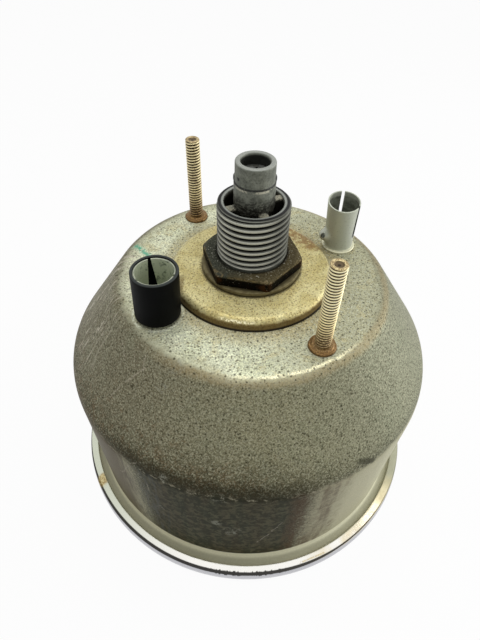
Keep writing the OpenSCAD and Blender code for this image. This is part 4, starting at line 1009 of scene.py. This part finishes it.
plate = {
    "bore": 8.15, "top": 69.0, "edgeR": 18.8, "edgeZ": 68.6, "outer": 19.4, "low": 66.0,
    "metal": 1.2, "round": 1.8, "dots": (1.8, 0.22, 0.42), "dirtR": 12.7,
    "yellow": {"Metallic": 0.4, "Specular IOR Level": 0.3},
    "noises": {
        "grain": (1.5, 2.0, 0.8), "fine": (3.0, 2.0, 0.7),
        "patch": (0.16, 4.0, 0.62, 0.5), "small": (0.8, 4.0, 0.7, 0.5),
    },
    "tones": {
        "gold": (187, 174, 117), "goldPale": (204, 195, 143), "speck": (118, 96, 48),
        "light": (224, 214, 166), "stain": (128, 96, 50), "dirt": (64, 52, 30),
        "skirt": (96, 74, 34), "foot": (26, 20, 10),
        "skirtHighlight": (255, 246, 206), "mark": (92, 78, 44), "fold": (104, 86, 50),
    },
    "marks": (((-9.0, -12.6, 69.0), (-7.0, -13.6, 69.0)), ((-9.6, -13.2, 69.0), (-7.6, -14.1, 69.0)),
              ((-1.0, -16.0, 69.0), (1.0, -15.2, 69.0))),
    "stainLine": ((13.5, 11.0, 69.0), (18.0, -2.0, 68.5)),
    "foldLine": ((-18.6, 1.0, 68.2), (-16.4, 4.4, 69.0)),
    "glowLine": ((-14.3, -12.6, 68.2), (-11.4, -15.2, 68.2)),
}


def plateFinish():
    c = named(plate)
    f = Finish("yellowPlating", c.yellow, c.tones)
    radius, z = f.around()
    grain, fine, patch, small = f.noises(c.noises)
    colour = f.mix(f.fade(patch, 0.38, 0.62), "gold", "goldPale")
    colour.lay("speck", small, 0.54, 0.68, 0.25)
    colour.lay("light", grain, 0.46, 0.34, 0.6)
    colour.lay("speck", f.dots(*c.dots, fine) * 0.65)
    # A brown stain at the back right, a small fold at the left, darker round the ring
    bent = f.bent(0.8, 1.6)
    stain = f.fade(f.fromLine(bent, *c.stainLine) + patch * 4.0, 6.0, 3.0)
    colour.lay("stain", stain * f.fade(small, 0.32, 0.54) * 0.85)
    colour.lay("fold", f.strokes(bent, [c.foldLine], 0.3, 1.0) * 0.7)
    colour.lay("dirt", radius + grain * 0.8, c.dirtR, c.dirtR - 0.7, 0.8)
    colour.lay("mark", f.strokes(f.p, c.marks, 0.1, 0.15) * f.fade(fine, 0.4, 0.5) * 0.7)
    # The skirt is dark brown under a broken painted cream highlight, with a painted shadow line at its foot
    colour.lay("skirt", z + (small - 0.5) * 1.2, c.edgeZ - 0.5, c.edgeZ - 1.2, 0.85)
    skirtHighlight = f.band(z - (c.edgeZ - 0.55), 0.34, 0.08) * f.fade(f.fromLine(f.p, *c.glowLine), 3.0, 0.5)
    colour.lay("skirtHighlight", skirtHighlight * f.fade(grain, 0.42, 0.56))
    colour.lay("foot", z, c.low + 0.6, c.low + 0.2, 0.95)
    return f.done(f.speckle(colour, fine, 1.6), 0.36 + grain * 0.2, grain * 0.6 + fine * 0.3, 0.06, 0.55)


def makePlate():
    c = named(plate)
    line = [(c.bore, c.top), (c.edgeR, c.edgeZ), (c.outer, c.low - 1.5)]
    roundings = (0, c.round, 0), (0, c.round - c.metal, 0)
    outline = sheet(line, c.metal, roundings, (0.12, 0.15), (3, 3), (0.9, 2.0))
    outline[:, 1] = np.maximum(outline[:, 1], c.low)
    outline[:, 0] = np.minimum(outline[:, 0], c.outer)

    def pressed(r, z, a):  # slightly wavy, as pressed sheet is
        wave = 0.05 * np.sin(3 * a + 0.5) + 0.03 * np.sin(7 * a)
        on = np.clip(z - 67.2, 0, 1) * np.clip((r - 12) / 4, 0, 1)
        return r, z - np.abs(wave) * on

    makePiece("dishedPlate", plateFinish(), [turned(outline, 256, pressed)], "dished_plate")


makeNut()
makeRing()
makePlate()
print("nut, ring and plate are made")


# Mounting studs

stud = {
    "at": 27.2, "headR": 2.4, "headZ": 64.0, "headTop": 65.2, "neckR": 2.0, "back": 66.0, "collarR": 3.1,
    "collarTop": 67.0, "threadR": 1.75, "pitch": 0.72, "depth": 0.36, "threadTo": 88.0, "tip": 88.2,
    "dishR": 1.05, "aroundSteps": 48, "brass": {"Metallic": 0.5, "Specular IOR Level": 0.4},
    "noises": {"fine": (3.0, 3.0, 0.65), "patch": (0.6, 4.0, 0.65, 0.6)},
    "tones": {
        "crest": (255, 238, 180), "crestDull": (218, 200, 154), "crestHighlight": (255, 248, 208),
        "root": (40, 26, 12), "rusty": (138, 108, 62), "blotch": (128, 88, 50),
        "collar": (144, 112, 64), "collarDark": (92, 66, 34), "collarLight": (200, 160, 104),
        "foot": (40, 28, 16), "dish": (104, 88, 62), "tip": (150, 130, 92),
    },
}


def studFinish():
    c = named(stud)
    f = Finish("rustyBrass", c.brass, c.tones)
    x, y, z = f.split()
    aside = f.size(y) - c.at
    reach = f.math("SQRT", x * x + aside * aside)
    fine, patch = f.noises(c.noises)
    # The stud away from the camera is duller
    dull = f.fade(y, -5.0, 5.0)
    thread = f.mix(f.fade(patch, 0.40, 0.66) * 0.7 + dull * 0.6, "crest", "crestDull")
    thread.lay("rusty", z + patch * 8.0, c.collarTop + 12.0, c.collarTop + 4.0, 0.75 + dull * 0.15)
    thread.lay("blotch", patch, 0.60, 0.70, 0.5)
    # Painted highlight along the crest tops, and painted shade in the roots
    top = f.fade(reach, c.threadR - 0.08, c.threadR - 0.02) * f.fade(z, c.collarTop + 5.0, c.collarTop + 13.0)
    thread.lay("crestHighlight", top * (1.0 - dull * 0.7) * 0.9)
    thread.lay("root", reach, c.threadR - 0.08, c.threadR - 0.20, f.fade(z, c.threadTo + 0.1, c.threadTo))
    thread.lay("tip", z, c.threadTo - 0.02, c.threadTo + 0.1, 0.4 + f.fade(fine, 0.44, 0.54) * 0.6)
    low = f.fade(z, c.collarTop + 5.5, c.collarTop + 1.5)
    thread.lay("collarDark", low * f.fade(fine, 0.46, 0.56) * 0.8)
    dish = f.fade(reach, c.dishR, c.dishR - 0.15) * f.fade(reach, 0.2, 0.4)
    thread.lay("dish", dish * f.fade(z, c.tip - 0.8, c.tip - 0.5) * 0.8)
    collar = f.mix(f.fade(fine, 0.4, 0.6), "collar", "collarDark")
    collar.lay("collarLight", fine, 0.60, 0.72)
    thread.lay(collar, z + patch * 0.8, c.collarTop + 0.7, c.collarTop + 0.2)
    # Painted shade where the stud meets the case
    thread.lay("foot", z, c.back + 0.3, c.back + 0.05, 0.7)
    return f.done(thread, 0.30 + patch * 0.3, fine * 0.5 + patch, 0.05, 0.6)


def makeStuds():
    c = named(stud)
    pole = [
        (0.0, c.headZ), (c.headR, c.headZ, 0.2), (c.headR, c.headTop), (c.neckR, c.headTop),
        (c.neckR, c.back), (c.collarR, c.back, 0.15), (c.collarR, c.collarTop - 0.35, 0.3),
        (c.threadR + 0.8, c.collarTop - 0.3, 0.2), (c.threadR + 0.5, c.collarTop, 0.2),
        (c.threadR, c.collarTop), (c.threadR, c.threadTo), (c.threadR - 0.2, c.tip, 0.1),
        (c.dishR, c.tip - 0.03, 0.15), (c.dishR - 0.3, c.tip - 0.34, 0.15), (0.0, c.tip - 0.36),
    ]
    outline = thinned(fineLine(roundedLine(pole, step=0.08), 0.065), c.threadR)

    def lumpy(r, z, a):
        onThread = (np.abs(r - c.threadR) < 0.02) & (z > c.collarTop + 0.1)
        r = r - np.where(onThread, c.depth * grooveDepth(z, a, c.pitch, 0.40), 0)
        flange = (r > 2.6) & (z > c.back + 0.05)
        return r + np.where(flange, 0.06 * np.sin(5 * a + 1) + 0.05 * np.sin(8 * a) - 0.11, 0), z

    shells = [turned(outline, c.aroundSteps, lumpy, (0, side * c.at)) for side in (1, -1)]
    makePiece("mountingStuds", studFinish(), shells, "mounting_studs", sharp=50)


makeStuds()
print("studs are made")


# Lamp holders and the black sleeve

lamp = {
    "footR": 3.55, "wall": 0.35, "low": 64.7, "inside": 65.2, "back": 66.0, "collarR": 4.15,
    "collarTop": 66.5, "straight": 68.0, "top": 78.2, "slotFrom": 70.5, "slotTo": 79.8,
    "tin": {"Metallic": 0.4, "Specular IOR Level": 0.35},
    "noises": {"fine": (2.6, 3.0, 0.7), "patch": (0.5, 4.0, 0.62, 0.5)},
}

bareLamp = {
    "name": "bareLampHolder", "node": "lamp_holder_bare", "finish": "greyTin",
    "at": 25.4, "turn": -4.7, "mouth": 3.93, "lean": -0.025, "raised": 0.55, "raisedTurn": 55,
    "slots": (60, 293), "slotFoot": 0.8, "slotHead": 0.8, "darkSlot": 293,
    "bumpTurn": 160, "bumpZ": 69.4, "bumpHigh": 1.7, "bumpWide": 1.5,
    "holeTurn": 200, "holeUp": 25, "holeR": 0.5,
    "tones": {
        "outside": (188, 192, 178), "inside": (116, 120, 108), "cloud": (190, 195, 176),
        "speck": (104, 106, 92), "rim": (186, 190, 174), "collar": (222, 220, 190),
        "foot": (96, 84, 56), "hole": (6, 6, 5),
    },
}

sleevedLamp = {
    "name": "sleevedLampHolder", "node": "lamp_holder_sleeved", "finish": "greenTin",
    "at": 25.0, "turn": 181.9, "mouth": 4.4, "lean": 0.04, "raised": 0.0, "raisedTurn": 0,
    "slots": (73, 193, 313), "slotFoot": 2.1, "slotHead": 0.3, "darkSlot": None, "bumpTurn": None,
    # The inside tone is painted light, so that the deep tube shows lit inside
    "tones": {
        "outside": (126, 130, 112), "inside": (210, 217, 190), "cloud": (208, 214, 192),
        "speck": (70, 88, 70), "rim": (156, 160, 142), "collar": (204, 203, 176), "foot": (88, 76, 50),
    },
}

sleeve = {
    "inner": 4.45, "outer": 5.1, "low": 66.6, "top": 78.5,
    "plastic": {"Metallic": 0.0, "Specular IOR Level": 0.04},
    "noises": {"fine": (1.6, 3.0, 0.6), "dust": (0.5, 4.0, 0.65, 0.5)},
    "tones": {"black": (8, 9, 9), "dusty": (11, 12, 13), "rim": (84, 88, 86), "foot": (54, 50, 40)},
}


def leaning(kind, z):
    # Sideways shift of the tube at height z: it leans to the photograph's right by lean times the height
    east, north = (heading(shot["photoRight"]) * kind.lean).tolist()
    return (z - lamp["back"]) * east, (z - lamp["back"]) * north


def bumpPlace(kind):  # the middle of the pressed bump, and the direction that its hole faces
    middle = heading(kind.turn) * kind.at + heading(kind.bumpTurn) * (lamp["footR"] + 0.3)
    level, up = heading(kind.holeUp)
    return np.array([*middle, kind.bumpZ]), np.array([*(heading(kind.holeTurn) * level), up])


def lampFinish(k):
    c = named(lamp)
    f = Finish(k.finish, c.tin, k.tones)
    x, y, z = f.split()
    middle = heading(k.turn) * k.at
    dx, dy = (at - m - lean for at, m, lean in zip((x, y), middle.tolist(), leaning(k, z)))
    reach = f.math("SQRT", dx * dx + dy * dy)
    fine, patch = f.noises(c.noises)
    flare = (k.mouth - c.footR) / (c.top - c.straight)
    skin = reach - (c.footR - c.wall / 2) - f.math("MAXIMUM", z - c.straight, 0.0) * flare
    colour = f.mix(f.fade(skin, -0.06, 0.02), "inside", "outside")
    colour.lay("cloud", patch, 0.4, 0.66, 0.5)
    colour.lay("speck", f.fade(patch, 0.48, 0.36) * f.fade(skin, 0.02, -0.06) * 0.8)
    colour.lay("speck", fine, 0.56, 0.70, 0.4)
    # Painted highlight on the mouth's rim
    colour.lay("rim", z, c.top - 0.35, c.top - 0.1, 0.7)
    colour.lay("collar", z + patch * 0.4, c.collarTop + 0.5, c.collarTop + 0.1)
    # Painted shade where the tube meets the case
    colour.lay("foot", z, c.back + 0.18, c.back + 0.02, 0.7)
    # Painted shade: black along the dark slot and in the bump's hole
    if k.darkSlot:
        out = heading(k.darkSlot)
        line = (*(out * c.footR + middle), c.slotFrom - 0.2), (*(out * k.mouth + middle), c.top)
        colour.lay("hole", f.strokes(f.p, [line], 0.5, 0.3) * 0.9)
    if k.bumpTurn:
        spot, facing = bumpPlace(k)
        away = f.apart(f.p, spot + facing * k.bumpHigh * 0.7)
        colour.lay("hole", away, k.holeR + 0.25, k.holeR)
    return f.done(colour, 0.36 + patch * 0.25, fine * 0.5 + patch * 0.5, 0.04, 0.5)


def makeHolder(kind):
    c, k = named(lamp), named(kind)
    inner = c.footR - c.wall
    line = roundedLine([
        (inner, c.low), (c.collarR, c.low, 0.15), (c.collarR, c.inside, 0.15), (c.footR, c.inside),
        (c.footR, c.back), (c.collarR, c.back, 0.1), (c.collarR, c.collarTop, 0.22),
        (c.footR, c.collarTop, 0.12), (c.footR, c.straight, 1.5), (k.mouth, c.top, 0.1),
        (k.mouth - c.wall, c.top, 0.1), (inner, c.straight, 1.5),
    ], step=0.12)
    outline = fineLine(line, 0.2)

    def pressed(r, z, a):
        if k.bumpTurn:  # a dome on the tube's side: e to the minus (distance / width) to the power 2.6
            turn = (a - np.radians(k.bumpTurn) + np.pi) % tau - np.pi
            away = np.hypot(turn * r, z - k.bumpZ) / k.bumpWide
            r = r + np.where(z > c.collarTop + 0.1, k.bumpHigh * np.exp(-away ** 2.6), 0)
        soft = np.clip((z - c.straight) / (c.top - c.straight), 0, 1) ** 2
        high = k.raised * (1 + np.cos(a - np.radians(k.raisedTurn)))
        return r + soft * 0.03 * np.sin(3 * a + 0.4), z + soft * (high - 0.04 * (1 + np.sin(2 * a + 1)))

    middle = heading(k.turn) * k.at
    cutters = []
    high = c.slotTo - c.slotFrom
    foot, head = k.slotFoot / 2, k.slotHead / 2
    slot = [(-foot, 0), (foot, 0), (head, high), (-head, high)]
    for out in map(heading, k.slots):
        stations = [((*(middle + out * r), c.slotFrom), crosswise(out), 1.0) for r in (1.2, 6.0)]
        cutters.append(bar(slot, stations))
    if k.bumpTurn:
        start, facing = bumpPlace(k)
        cutters.append(rod(start + facing * k.bumpHigh * 0.3, start + facing * 4, k.holeR, 24))
    points, faces = turned(outline, 176, pressed, middle)
    points[:, :2] += np.stack(leaning(k, points[:, 2]), 1)
    makePiece(k.name, lampFinish(k), [(points, faces)], k.node, cutters=cutters, sharp=40)


def sleeveFinish():
    s = named(sleeve)
    f = Finish("blackPlastic", s.plastic, s.tones)
    z = f.split()[2]
    fine, dust = f.noises(s.noises)
    colour = f.mix(f.fade(dust, 0.45, 0.70), "black", "dusty")
    # Painted highlight on the top rim
    colour.lay("rim", z, s.top - 0.3, s.top - 0.1, 0.6)
    colour.lay("foot", z + dust * 0.8, s.low + 0.8, s.low + 0.2, 0.5)
    return f.done(colour, 0.40 + dust * 0.22, fine, 0.02, 0.4)


def makeSleeve():
    s, k = named(sleeve), named(sleevedLamp)
    outline = roundedLine([(s.inner, s.low, 0.1), (s.outer, s.low, 0.2), (s.outer, s.top, 0.28),
                           (s.inner, s.top, 0.2)], step=0.07)

    def squeezed(r, z, a):
        return r - 0.03 * (1 + np.sin(2 * a + z * 0.1)) * (r > s.inner + 0.25), z

    points, faces = turned(fineLine(outline, 0.8), 144, squeezed, heading(k.turn) * k.at)
    points[:, :2] += np.stack(leaning(k, points[:, 2]), 1)
    makePiece("plasticSleeve", sleeveFinish(), [(points, faces)], "lamp_sleeve")


makeHolder(bareLamp)
makeHolder(sleevedLamp)
makeSleeve()
print("lamp holders are made")


# Dial: scale, numbers and counter digits, which face the front

dial = {
    "face": 11.0, "rest": -30.0, "sweep": 240.0, "top": 120, "tickStep": 2, "longEvery": 5, "numberStep": 20,
    "longTick": (35.6, 40.4, 0.9), "shortTick": (38.8, 40.4, 0.35),  # from, to and width
    "numberAt": 30.6, "thirdDigitIn": 1.9, "numberHigh": 5.6, "inkThick": 0.05, "ink": (226, 222, 206),
    "drumR": 6.0, "drumY": -25.25, "drumZ": 19.0, "drumPitch": 4.0, "drums": 5, "digitHigh": 2.88,
    "digitInk": (230, 228, 216), "firstInk": (38, 38, 38),
}


def flatInk(name, shade):
    f = Finish(name, {"Metallic": 0.0, "Roughness": 0.55}, {"ink": shade, "worn": [v * 0.8 for v in shade]})
    worn = f.noise(1.2, 4.0, 0.65)
    return f.done(f.mix(f.fade(worn, 0.45, 0.7) * 0.35, "ink", "worn"), None, worn, 0.01, 0.3)


def letterMesh(text, high):
    # A closed thin slab of the characters, in millimetres about their middle, as points and faces
    curve = bpy.data.curves.new("letters", "FONT")
    curve.body = text
    curve.size = high / 0.72  # the height of a number over the size of its letters
    curve.extrude = dial["inkThick"] / 2
    curve.resolution_u = 6
    holder = linked("letters", curve)
    solid = holder.evaluated_get(bpy.context.evaluated_depsgraph_get())
    mesh = bpy.data.meshes.new_from_object(solid)
    work = bmesh.new()
    work.from_mesh(mesh)
    bmesh.ops.remove_doubles(work, verts=work.verts, dist=1e-4)
    bmesh.ops.triangulate(work, faces=work.faces)
    for _ in range(3):
        stretched = [e for e in work.edges if e.calc_length() > 0.8]
        if stretched:
            bmesh.ops.subdivide_edges(work, edges=stretched, cuts=1)
            bmesh.ops.triangulate(work, faces=work.faces)
    work.to_mesh(mesh)
    work.free()
    points = np.empty((len(mesh.vertices), 3))
    mesh.vertices.foreach_get("co", points.ravel())
    faces = np.full((len(mesh.polygons), 3), 0)
    mesh.polygons.foreach_get("vertices", faces.ravel())
    bpy.data.objects.remove(holder)
    bpy.data.curves.remove(curve)
    bpy.data.meshes.remove(mesh)
    points[:, :2] -= (points[:, :2].min(0) + points[:, :2].max(0)) / 2
    return points, np.concatenate([faces, np.full((len(faces), 1), -1)], 1)


def makeScale():
    d = named(dial)
    shells = []
    marks = d.top // d.tickStep + 1
    for k in range(marks):
        near, far, wide = d.shortTick if k % d.longEvery else d.longTick
        out = heading(d.rest + d.sweep * k / (marks - 1))
        profile = [(-wide / 2, 0), (wide / 2, 0), (wide / 2, d.inkThick), (-wide / 2, d.inkThick)]
        stations = [((*(out * r), d.face - d.inkThick), crosswise(out), 1.0) for r in (near, far)]
        shells.append(bar(profile, stations))
    for number in range(0, d.top + 1, d.numberStep):
        points, faces = letterMesh(str(number), d.numberHigh)
        away = d.numberAt - (number > 99) * d.thirdDigitIn
        spot = (*(heading(d.rest + d.sweep * number / d.top) * away), d.face - d.inkThick / 2)
        shells.append((points * (-1, 1, -1) + spot, faces))  # turned over, to read from the front
    makePiece("dialScale", flatInk("dialInk", d.ink), shells)


def makeDigits(drum):
    # Each digit bends round its drum: its height above the middle over the radius is its turn
    d = named(dial)
    middle = (drum - (d.drums + 1) / 2) * d.drumPitch
    shells = []
    for digit in range(10):
        points, faces = letterMesh(str(digit), d.digitHigh)
        turn = points[:, 1] / d.drumR - np.radians(36 * digit)
        reach = d.drumR + points[:, 2] + d.inkThick / 2
        y, z = d.drumY + reach * np.sin(turn), d.drumZ - reach * np.cos(turn)
        shells.append((np.stack([middle - points[:, 0], y, z], 1), faces))
    ink = flatInk(f"digitInk{drum}", d.firstInk if drum == 1 else d.digitInk)
    makePiece(f"digits{drum}", ink, shells, body=f"drum_{drum}")


makeScale()
for drumNumber in range(1, dial["drums"] + 1):
    makeDigits(drumNumber)
print("dial marks are made")


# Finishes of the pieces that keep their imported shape

def plainMetal(name, colour, dirt, metallic, rough, scale=0.8, deep=0.03):
    tones = {"clean": colour, "worn": [v * 0.84 for v in colour], "dirt": dirt}
    f = Finish(name, {"Metallic": metallic}, tones)
    patch = f.noise(scale * 0.4, 4.0, 0.62, 0.4)
    fine = f.noise(scale * 3.0, 3.0, 0.6)
    skin = f.mix(f.fade(patch, 0.38, 0.68) * 0.55, "clean", "worn")
    skin.lay("dirt", fine, 0.58, 0.74, 0.45)
    return f.done(skin, rough + (patch - 0.5) * 0.3, fine * 0.5 + patch * 0.5, deep, 0.5)


def turnedMetal(name, colour, dirt, rough):  # with the fine rings that a lathe leaves
    f = Finish(name, {"Metallic": 0.85}, {"clean": colour, "dirt": dirt})
    height = f.split()[2]
    rings = f.noise(1.0, 2.0, 0.6, at=f.join(0.0, 0.0, height * 6.0))
    patch = f.noise(0.5, 4.0, 0.62, 0.4)
    skin = f.mix(f.fade(patch, 0.42, 0.70) * 0.6, "clean", "dirt")
    return f.done(f.speckle(skin, rings, 0.2), rough + patch * 0.2, rings, 0.01, 0.4)


def spindleFinish():  # grey, and black with grease up to just below its end in the connector's bore
    tones = {"steel": (120, 122, 118), "worn": (72, 72, 64), "grease": (16, 16, 14)}
    f = Finish("greasySteel", {"Metallic": 0.6}, tones)
    z = f.split()[2]
    patch = f.noise(0.9, 4.0, 0.62, 0.4)
    skin = f.mix(f.fade(patch, 0.4, 0.66), "steel", "worn")
    skin.lay("grease", f.fade(z, 92.75, 92.55) * f.fade(z, 60.0, 64.0) * 0.9)
    return f.done(skin, 0.4 + patch * 0.2, patch, 0.02, 0.4)


def glassFinish():
    f = Finish("flatGlass", {"Base Color": (0.55, 0.62, 0.60, 1), "Alpha": 0.10, "IOR": 1.5}, {})
    smear = f.noise(0.05, 3.0, 0.6)
    f.feed("Roughness", 0.02 + f.fade(smear, 0.5, 0.8) * 0.06)
    return f


def dialFinish():
    tones = {"black": (26, 27, 28), "faded": (34, 35, 35), "dust": (70, 70, 66)}
    f = Finish("dialPaint", {"Metallic": 0.0}, tones)
    fine = f.noise(2.5, 3.0, 0.6)
    patch = f.noise(0.1, 3.0, 0.6)
    skin = f.mix(f.fade(patch, 0.4, 0.7), "black", "faded")
    skin.lay("dust", fine, 0.66, 0.76, 0.3)
    return f.done(skin, 0.55 + fine * 0.15, fine, 0.01, 0.4)


dress(spindleFinish(), "drive_shaft")
dress(glassFinish(), "glass")
dress(dialFinish(), "dial")
dress(plainMetal("blackRubber", (30, 30, 30), (52, 50, 46), 0.0, 0.75), "glass_seal")
dress(plainMetal("blackPaint", (26, 26, 27), (54, 50, 44), 0.0, 0.5), "spacer_ring", "pointer_cap")
dress(plainMetal("blackScrews", (40, 40, 42), (84, 78, 66), 0.5, 0.4), "dial_screws")
dress(plainMetal("orangePaint", (206, 74, 34), (160, 60, 30), 0.0, 0.45, 1.4, 0.01), "pointer")
dress(turnedMetal("turnedBrass", (196, 168, 98), (128, 104, 56), 0.28),
      "dial_pillars", "spindle_bearing", "spring_collet", "spring_lever")
dress(turnedMetal("cutBrass", (204, 176, 104), (140, 112, 60), 0.3), "cross_wheel", "upright_wheel")
dress(plainMetal("castFrame", (150, 152, 150), (96, 94, 86), 0.5, 0.5), "frame")
dress(plainMetal("platedSteel", (176, 178, 176), (120, 112, 96), 0.7, 0.34),
      "bridge", "field_ring", "frame_screws")
dress(turnedMetal("bearingBronze", (168, 128, 70), (96, 72, 40), 0.35), "shaft_bush")
dress(turnedMetal("groundSteel", (196, 198, 200), (132, 130, 124), 0.22),
      "spindle", "cross_shaft", "upright_shaft", "drum_axle", "drum_spacers", "pinion_shaft", "stop_pin")
dress(plainMetal("magnetAlloy", (92, 94, 98), (60, 58, 54), 0.7, 0.45), "magnet")
dress(plainMetal("spunAluminium", (212, 214, 214), (170, 170, 166), 0.8, 0.3, 1.2, 0.01), "drag_cup")
dress(plainMetal("springBronze", (158, 118, 66), (110, 84, 50), 0.8, 0.3, 2.0, 0.01), "hairspring")
dress(plainMetal("ivoryPlastic", (222, 216, 196), (188, 178, 150), 0.0, 0.5, 1.0, 0.01),
      "drum_gear", *[f"transfer_pinion_{k}" for k in range(1, 5)])
dress(plainMetal("ivoryDrum", (224, 219, 202), (192, 184, 160), 0.0, 0.5, 1.0, 0.01), "number_drum_1")
dress(plainMetal("blackDrum", (28, 28, 29), (56, 54, 50), 0.0, 0.5, 1.0, 0.01),
      *[f"number_drum_{k}" for k in range(2, 6)])
print("finishes are set")
